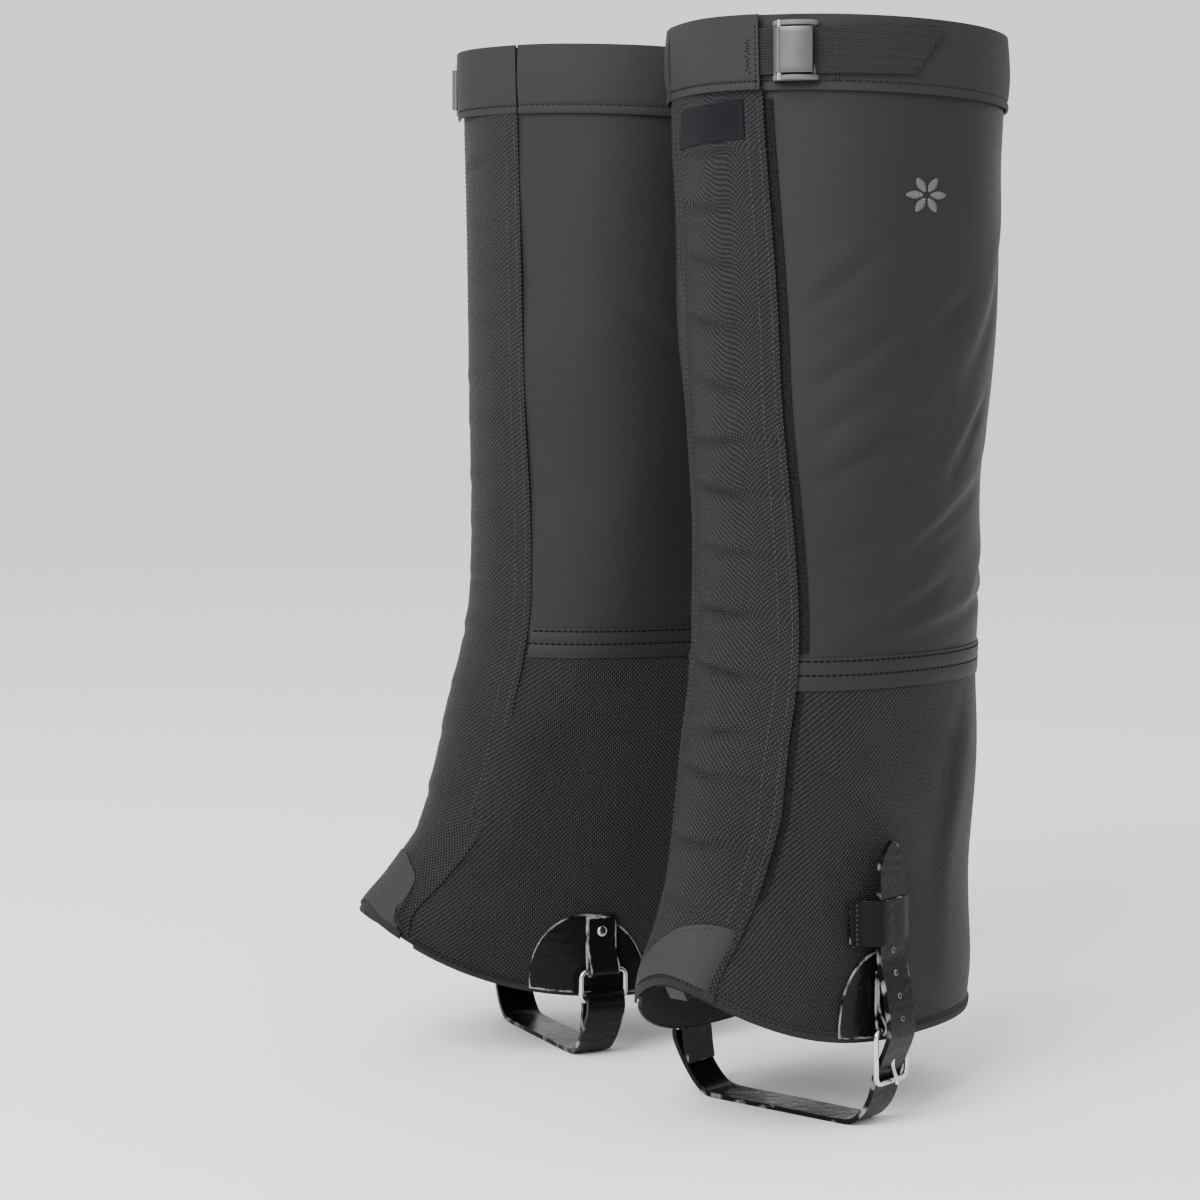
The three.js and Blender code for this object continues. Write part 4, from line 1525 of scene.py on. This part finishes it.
def make_frames(leg):
    """The buckle's wire frame and its prong, and the plain ring on the inner side."""
    for word, node, x, top, drop, body in (
        ("buckle_wire", "buckle_frame", FRAME_X, FRAME_TOP, FRAME_DROP, "buckle_body"),
        ("ring_wire", "strap_ring", -FRAME_X, RING_TOP, RING_DROP, "gaiter"),
    ):
        mesh = bmesh.new()
        loop = rounded_loop(x, top, drop, FRAME_WIDTH - BAR, 3.4)
        swept_tube(mesh, loop, BAR / 2 * MM, 16, True)
        set_on(leg, mesh)
        piece = as_piece(f"{leg.name}_{word}", mesh, "wire", f"{leg.name}_{body}")
        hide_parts(f"{leg.name}_{node}")
    curl = 2.25
    hook = [
        (FRAME_X + curl * math.cos(math.radians(t)), FRAME_TOP + curl * math.sin(math.radians(t)))
        for t in range(40, 345, 25)
    ]
    finger = [(56.1, 41), (55.5, 36), (54.9, 30), (54.7, 26.4), (55.7, 23.4), (56.7, 21.2), (57.0, 18.9)]
    mesh = bmesh.new()
    line = even_points([Vector((x, STRAP_Y, z)) for x, z in hook + finger], 0.8)
    swept_tube(mesh, [point * MM for point in line], 0.95 * MM, 12)
    set_on(leg, mesh)
    prong = as_piece(f"{leg.name}_prong_wire", mesh, "wire", f"{leg.name}_prong_body")
    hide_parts(f"{leg.name}_buckle_prong")


def make_tabs(leg):
    """Leather tabs folded round the wire, each with its rivet."""
    for word, rivet_node, top, sign in (
        ("buckle", "tab_rivet", FRAME_TOP, 1), ("ring", "ring_rivet", RING_TOP, -1),
    ):
        path = (
            (51.2, 67.5), (51.1, 60), (51.0, 50), (51.4, top + 2), (52.3, top - 1.4), (54, top - 2.3),
            (55.7, top - 1.4), (56.4, top + 0.6), (55.6, top + 3.0), (53.6, top + 6.4), (52.4, 53),
            (52.4, 60), (52.5, 67),
        )
        mesh = strip_along(path, 15, 8, 1.1)
        bmesh.ops.recalc_face_normals(mesh, faces=mesh.faces)
        softened(mesh, 0.25, 1, math.radians(60))
        if sign < 0:
            bmesh.ops.scale(mesh, vec=(-1, 1, 1), verts=mesh.verts)
            bmesh.ops.reverse_faces(mesh, faces=mesh.faces)
        set_on(leg, mesh)
        tab = as_piece(f"{leg.name}_{word}_tab_leather", mesh, "patch", f"{leg.name}_gaiter")
        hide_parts(f"{leg.name}_{word}_tab")
        head = bmesh.new()
        dome = bmesh.ops.create_uvsphere(head, u_segments=24, v_segments=12, radius=2.5 * MM)
        bmesh.ops.scale(head, vec=(0.32, 1, 1), verts=dome["verts"])
        seat = Vector((sign * 52.9, STRAP_Y, RIVET_HEIGHT)) * MM
        bmesh.ops.translate(head, vec=seat, verts=dome["verts"])
        set_on(leg, head)
        rivet = as_piece(f"{leg.name}_{word}_rivet_head", head, "wire", f"{leg.name}_gaiter")
        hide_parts(f"{leg.name}_{rivet_node}")


def collar_matrix(leg):
    """Stands flat hardware on the collar: X along the strap, Y outwards, Z down."""
    u = leg.free(WEB_Z) + CAM_PAST_EDGE
    half, front, _ = leg.plan(WEB_Z)
    origin = Vector((
        (half + CAM_BASE_IN) * math.sin(u), -(front + CAM_BASE_IN) * math.cos(u), WEB_Z
    )) * MM
    along = Vector((math.cos(u), math.sin(u), 0))
    out = Vector((math.sin(u), -math.cos(u), 0))
    down = Vector((0, 0, -1))
    return Matrix.Translation(origin) @ Matrix((along, out, down)).transposed().to_4x4()


def make_collar_buckle(leg):
    """The cam buckle: two ears joined by bars, and the curved lever on its barrel."""
    seat = collar_matrix(leg)
    rail_z = (WEB_WIDTH + RAIL) / 2 + 0.5
    body = f"{leg.name}_gaiter"

    mesh = bmesh.new()
    for end in (-1, 1):
        ear = bmesh.new()
        bmesh.ops.create_circle(ear, cap_ends=True, segments=64, radius=1)
        bmesh.ops.bisect_plane(
            ear, geom=ear.verts[:] + ear.edges[:] + ear.faces[:], plane_co=(0, 0, 0), plane_no=(0, -1, 0),
            clear_outer=True,
        )
        bmesh.ops.scale(ear, vec=(CAM_LENGTH / 2 * MM, CAM_HEIGHT * MM, 1), verts=ear.verts)
        grown = bmesh.ops.extrude_face_region(ear, geom=ear.faces[:])
        top = [item for item in grown["geom"] if isinstance(item, bmesh.types.BMVert)]
        bmesh.ops.translate(ear, vec=(0, 0, RAIL * MM), verts=top)
        bmesh.ops.translate(ear, vec=(0, 0, (end * rail_z - RAIL / 2) * MM), verts=ear.verts)
        bmesh.ops.recalc_face_normals(ear, faces=ear.faces)
        softened(ear, 0.45, 3, math.radians(50))
        join(mesh, ear)
    for x, y in ((-8.4, 1.6), (8.2, 0.9)):
        bar = bmesh.new()
        cuboid(bar, (1.7, 1.5, 2 * rail_z), (x, y, 0))
        softened(bar, 0.4, 2)
        join(mesh, bar)
    bmesh.ops.transform(mesh, matrix=seat, verts=mesh.verts)
    set_on(leg, mesh)
    shell = as_piece(f"{leg.name}_cam_frame", mesh, "plastic", body)
    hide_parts(f"{leg.name}_cam_body")

    mesh = bmesh.new()
    plate = 15.4
    cuboid(mesh, (plate, 1.5, WEB_WIDTH - 0.4), (PIN_X + 7.0, PIN_Y + 0.9, 0))
    bmesh.ops.subdivide_edges(mesh, edges=mesh.edges[:], cuts=7, use_grid_fill=True)
    for vert in mesh.verts:
        share = (vert.co.x / MM - PIN_X + 0.7) / plate
        vert.co.y += (1.1 * math.sin(math.pi * clamp01(share)) - 0.9 * share) * MM
    softened(mesh, 0.35, 2)
    bmesh.ops.create_cone(
        mesh, cap_ends=True, segments=24, radius1=2.1 * MM, radius2=2.1 * MM, depth=(WEB_WIDTH - 0.6) * MM,
        matrix=Matrix.Translation(Vector((PIN_X, PIN_Y, 0)) * MM),
    )
    for step in range(-4, 5):
        cuboid(mesh, (0.7, 0.5, 1.1), (PIN_X - 1.6, PIN_Y - 1.3, 2.1 * step))
    bmesh.ops.transform(mesh, matrix=seat, verts=mesh.verts)
    set_on(leg, mesh)
    lever = as_piece(f"{leg.name}_lever_plate", mesh, "lever", f"{leg.name}_cam_lever_body")
    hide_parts(f"{leg.name}_cam_lever")


def make_webbing(leg):
    """The adjusting strap, through the buckle and along the collar to its slanted end."""
    low = WEB_Z - WEB_WIDTH / 2
    right = lambda z: (
        leg.free(WEB_Z) + STRAP_PAST_EDGE - WEB_SLANT * (1 - (z - low) / WEB_WIDTH)
    )
    edges = (leg.past_free(-9), right)
    mesh = cloth_band(leg, edges, (always(low), always(low + WEB_WIDTH)), always(3.95), 120, 18, 1.15)
    softened(mesh, 0.3, 1, math.radians(60))
    strap = as_piece(f"{leg.name}_webbing", mesh, "webbing", f"{leg.name}_top_strap_body")
    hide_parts(f"{leg.name}_top_strap")


def dress_cad_nodes(leg):
    """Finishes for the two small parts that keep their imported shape."""
    for node, look in (("lace_hook", "blackened"), ("cam_pin", "wire")):
        kept = frame["nodes"][f"{leg.name}_{node}"]
        kept.data.materials.clear()
        kept.data.materials.append(finishes[look][0])


# --- operators ----------------------------------------------------------------------------------


class GAITERS_OT_finishes(bpy.types.Operator):
    """Make every material of the gaiters"""

    bl_idname = "gaiters.finishes"
    bl_label = "Materials"

    def execute(self, context):
        for leg in LEGS:
            leg.fold_height = context.scene.gaiter_cloth.fold_height / MM
        finishes.update(finish_all(context.scene.gaiter_cloth, context.scene.gaiter_hardware))
        return {"FINISHED"}


def make_left_label(leg):
    """Only the left gaiter has a label."""
    if leg.name == "left":
        make_label(leg)


def on_both_legs(*makers):
    """Runs the makers on one leg and then on the other."""
    for leg in LEGS:
        for maker in makers:
            maker(leg)
    return {"FINISHED"}


class GAITERS_OT_panels(bpy.types.Operator):
    """Make the upper and lower cloth panels"""

    bl_idname = "gaiters.panels"
    bl_label = "Panels"

    def execute(self, context):
        return on_both_legs(make_panels)


class GAITERS_OT_bands(bpy.types.Operator):
    """Make the seam tape, collar and hem with their stitching"""

    bl_idname = "gaiters.bands"
    bl_label = "Bands"

    def execute(self, context):
        return on_both_legs(make_bands, make_band_stitches)


class GAITERS_OT_tapes(bpy.types.Operator):
    """Make the hook and loop tapes"""

    bl_idname = "gaiters.tapes"
    bl_label = "Fastening tapes"

    def execute(self, context):
        return on_both_legs(make_tapes)


class GAITERS_OT_flap(bpy.types.Operator):
    """Make the flap and its collar"""

    bl_idname = "gaiters.flap"
    bl_label = "Front flap"

    def execute(self, context):
        return on_both_legs(make_flap, make_flap_stitches)


class GAITERS_OT_toe(bpy.types.Operator):
    """Make the toe patch"""

    bl_idname = "gaiters.toe"
    bl_label = "Toe patch"

    def execute(self, context):
        return on_both_legs(make_toe_patch)


class GAITERS_OT_label(bpy.types.Operator):
    """Make the woven label and the embroidered motif"""

    bl_idname = "gaiters.label"
    bl_label = "Label and motif"

    def execute(self, context):
        return on_both_legs(make_left_label, make_motif)


class GAITERS_OT_patches(bpy.types.Operator):
    """Make the half-moon patches"""

    bl_idname = "gaiters.patches"
    bl_label = "Hem patches"

    def execute(self, context):
        return on_both_legs(make_side_patches)


class GAITERS_OT_strap(bpy.types.Operator):
    """Make the strap with its holes and keeper"""

    bl_idname = "gaiters.strap"
    bl_label = "Instep strap"

    def execute(self, context):
        return on_both_legs(make_instep_strap, make_strap_holes, make_keeper)


class GAITERS_OT_buckles(bpy.types.Operator):
    """Make the frames, prong, tabs and rivets"""

    bl_idname = "gaiters.buckles"
    bl_label = "Wire hardware"

    def execute(self, context):
        return on_both_legs(make_frames, make_tabs)


class GAITERS_OT_collar_strap(bpy.types.Operator):
    """Make the collar buckle and its webbing"""

    bl_idname = "gaiters.collar_strap"
    bl_label = "Collar strap"

    def execute(self, context):
        return on_both_legs(make_collar_buckle, make_webbing)


class GAITERS_OT_kept(bpy.types.Operator):
    """Give the kept metal parts their finish"""

    bl_idname = "gaiters.kept"
    bl_label = "Small metal"

    def execute(self, context):
        return on_both_legs(dress_cad_nodes)


class GAITERS_OT_stage(bpy.types.Operator):
    """Set the camera, floor and lights"""

    bl_idname = "gaiters.stage"
    bl_label = "Stage"

    def execute(self, context):
        stage = context.scene.gaiter_stage
        look = Vector((-math.sin(VIEW_TURN), math.cos(VIEW_TURN), 0))
        right = Vector((math.cos(VIEW_TURN), math.sin(VIEW_TURN), 0))
        near = Vector((SPACING / 2 * MM, 0, VIEW_HEIGHT))
        camera = bpy.data.cameras.new("Camera")
        camera.lens = LENS
        camera.sensor_width = SENSOR
        camera.shift_y = VIEW_SHIFT
        view = bpy.data.objects.new("Camera", camera)
        view.location = near - right * VIEW_ASIDE - look * stage.distance
        view.rotation_euler = (math.pi / 2, 0, VIEW_TURN)
        context.collection.objects.link(view)
        context.scene.camera = view

        mesh = bmesh.new()
        bmesh.ops.create_grid(mesh, x_segments=1, y_segments=1, size=6)
        data = bpy.data.meshes.new("Floor")
        mesh.to_mesh(data)
        mesh.free()
        floor = bpy.data.objects.new("Floor", data)
        context.collection.objects.link(floor)
        pale = Finish("FloorPale")
        data.materials.append(pale.surface(Base_Color=(0.93, 0.93, 0.93), Roughness=0.8))

        centre = Vector((0.03, -0.02, 0.25))
        for name, power, size, place in (
            ("Key", stage.key, 1.3, -0.9 * right - look * 1.5 + Vector((0, 0, 1.3))),
            ("Fill", stage.fill, 1.6, -1.6 * right - look * 0.2 + Vector((0, 0, 0.6))),
            ("Top", stage.fill, 1.8, look * 0.3 + Vector((0, 0, 1.9))),
        ):
            light = bpy.data.lights.new(name, "AREA")
            light.energy = power
            light.size = size
            lamp = bpy.data.objects.new(name, light)
            lamp.location = centre + place
            lamp.rotation_euler = (-place).to_track_quat("-Z", "Y").to_euler()
            context.collection.objects.link(lamp)
        world = bpy.data.worlds.new("Studio")
        context.scene.world = world
        world.use_nodes = True
        background = world.node_tree.nodes["Background"]
        background.inputs["Color"].default_value = (1, 1, 1, 1)
        background.inputs["Strength"].default_value = stage.surround
        return {"FINISHED"}


class GAITERS_PT_panel(bpy.types.Panel):
    """Lists the steps and the settings"""

    bl_label = "Hiking gaiters"
    bl_idname = "GAITERS_PT_panel"
    bl_space_type = "VIEW_3D"
    bl_region_type = "UI"
    bl_category = "Gaiters"

    def draw(self, context):
        for step in STEPS:
            self.layout.operator(step.bl_idname)
        scene = context.scene
        for group in (scene.gaiter_cloth, scene.gaiter_hardware, scene.gaiter_stage):
            for key in group.bl_rna.properties.keys():
                if key not in {"rna_type", "name"}:
                    self.layout.prop(group, key)


STEPS = (
    GAITERS_OT_finishes,
    GAITERS_OT_panels,
    GAITERS_OT_bands,
    GAITERS_OT_tapes,
    GAITERS_OT_flap,
    GAITERS_OT_toe,
    GAITERS_OT_label,
    GAITERS_OT_patches,
    GAITERS_OT_strap,
    GAITERS_OT_buckles,
    GAITERS_OT_collar_strap,
    GAITERS_OT_kept,
    GAITERS_OT_stage,
)
CLASSES = (GaiterCloth, GaiterHardware, GaiterStage, *STEPS, GAITERS_PT_panel)


def register():
    for cls in CLASSES:
        bpy.utils.register_class(cls)
    bpy.types.Scene.gaiter_cloth = PointerProperty(type=GaiterCloth)
    bpy.types.Scene.gaiter_hardware = PointerProperty(type=GaiterHardware)
    bpy.types.Scene.gaiter_stage = PointerProperty(type=GaiterStage)


def unregister():
    del bpy.types.Scene.gaiter_cloth
    del bpy.types.Scene.gaiter_hardware
    del bpy.types.Scene.gaiter_stage
    for cls in reversed(CLASSES):
        bpy.utils.unregister_class(cls)


def main():
    register()
    for step in STEPS:
        group, name = step.bl_idname.split(".")
        getattr(getattr(bpy.ops, group), name)()


if __name__ == "__main__":
    main()
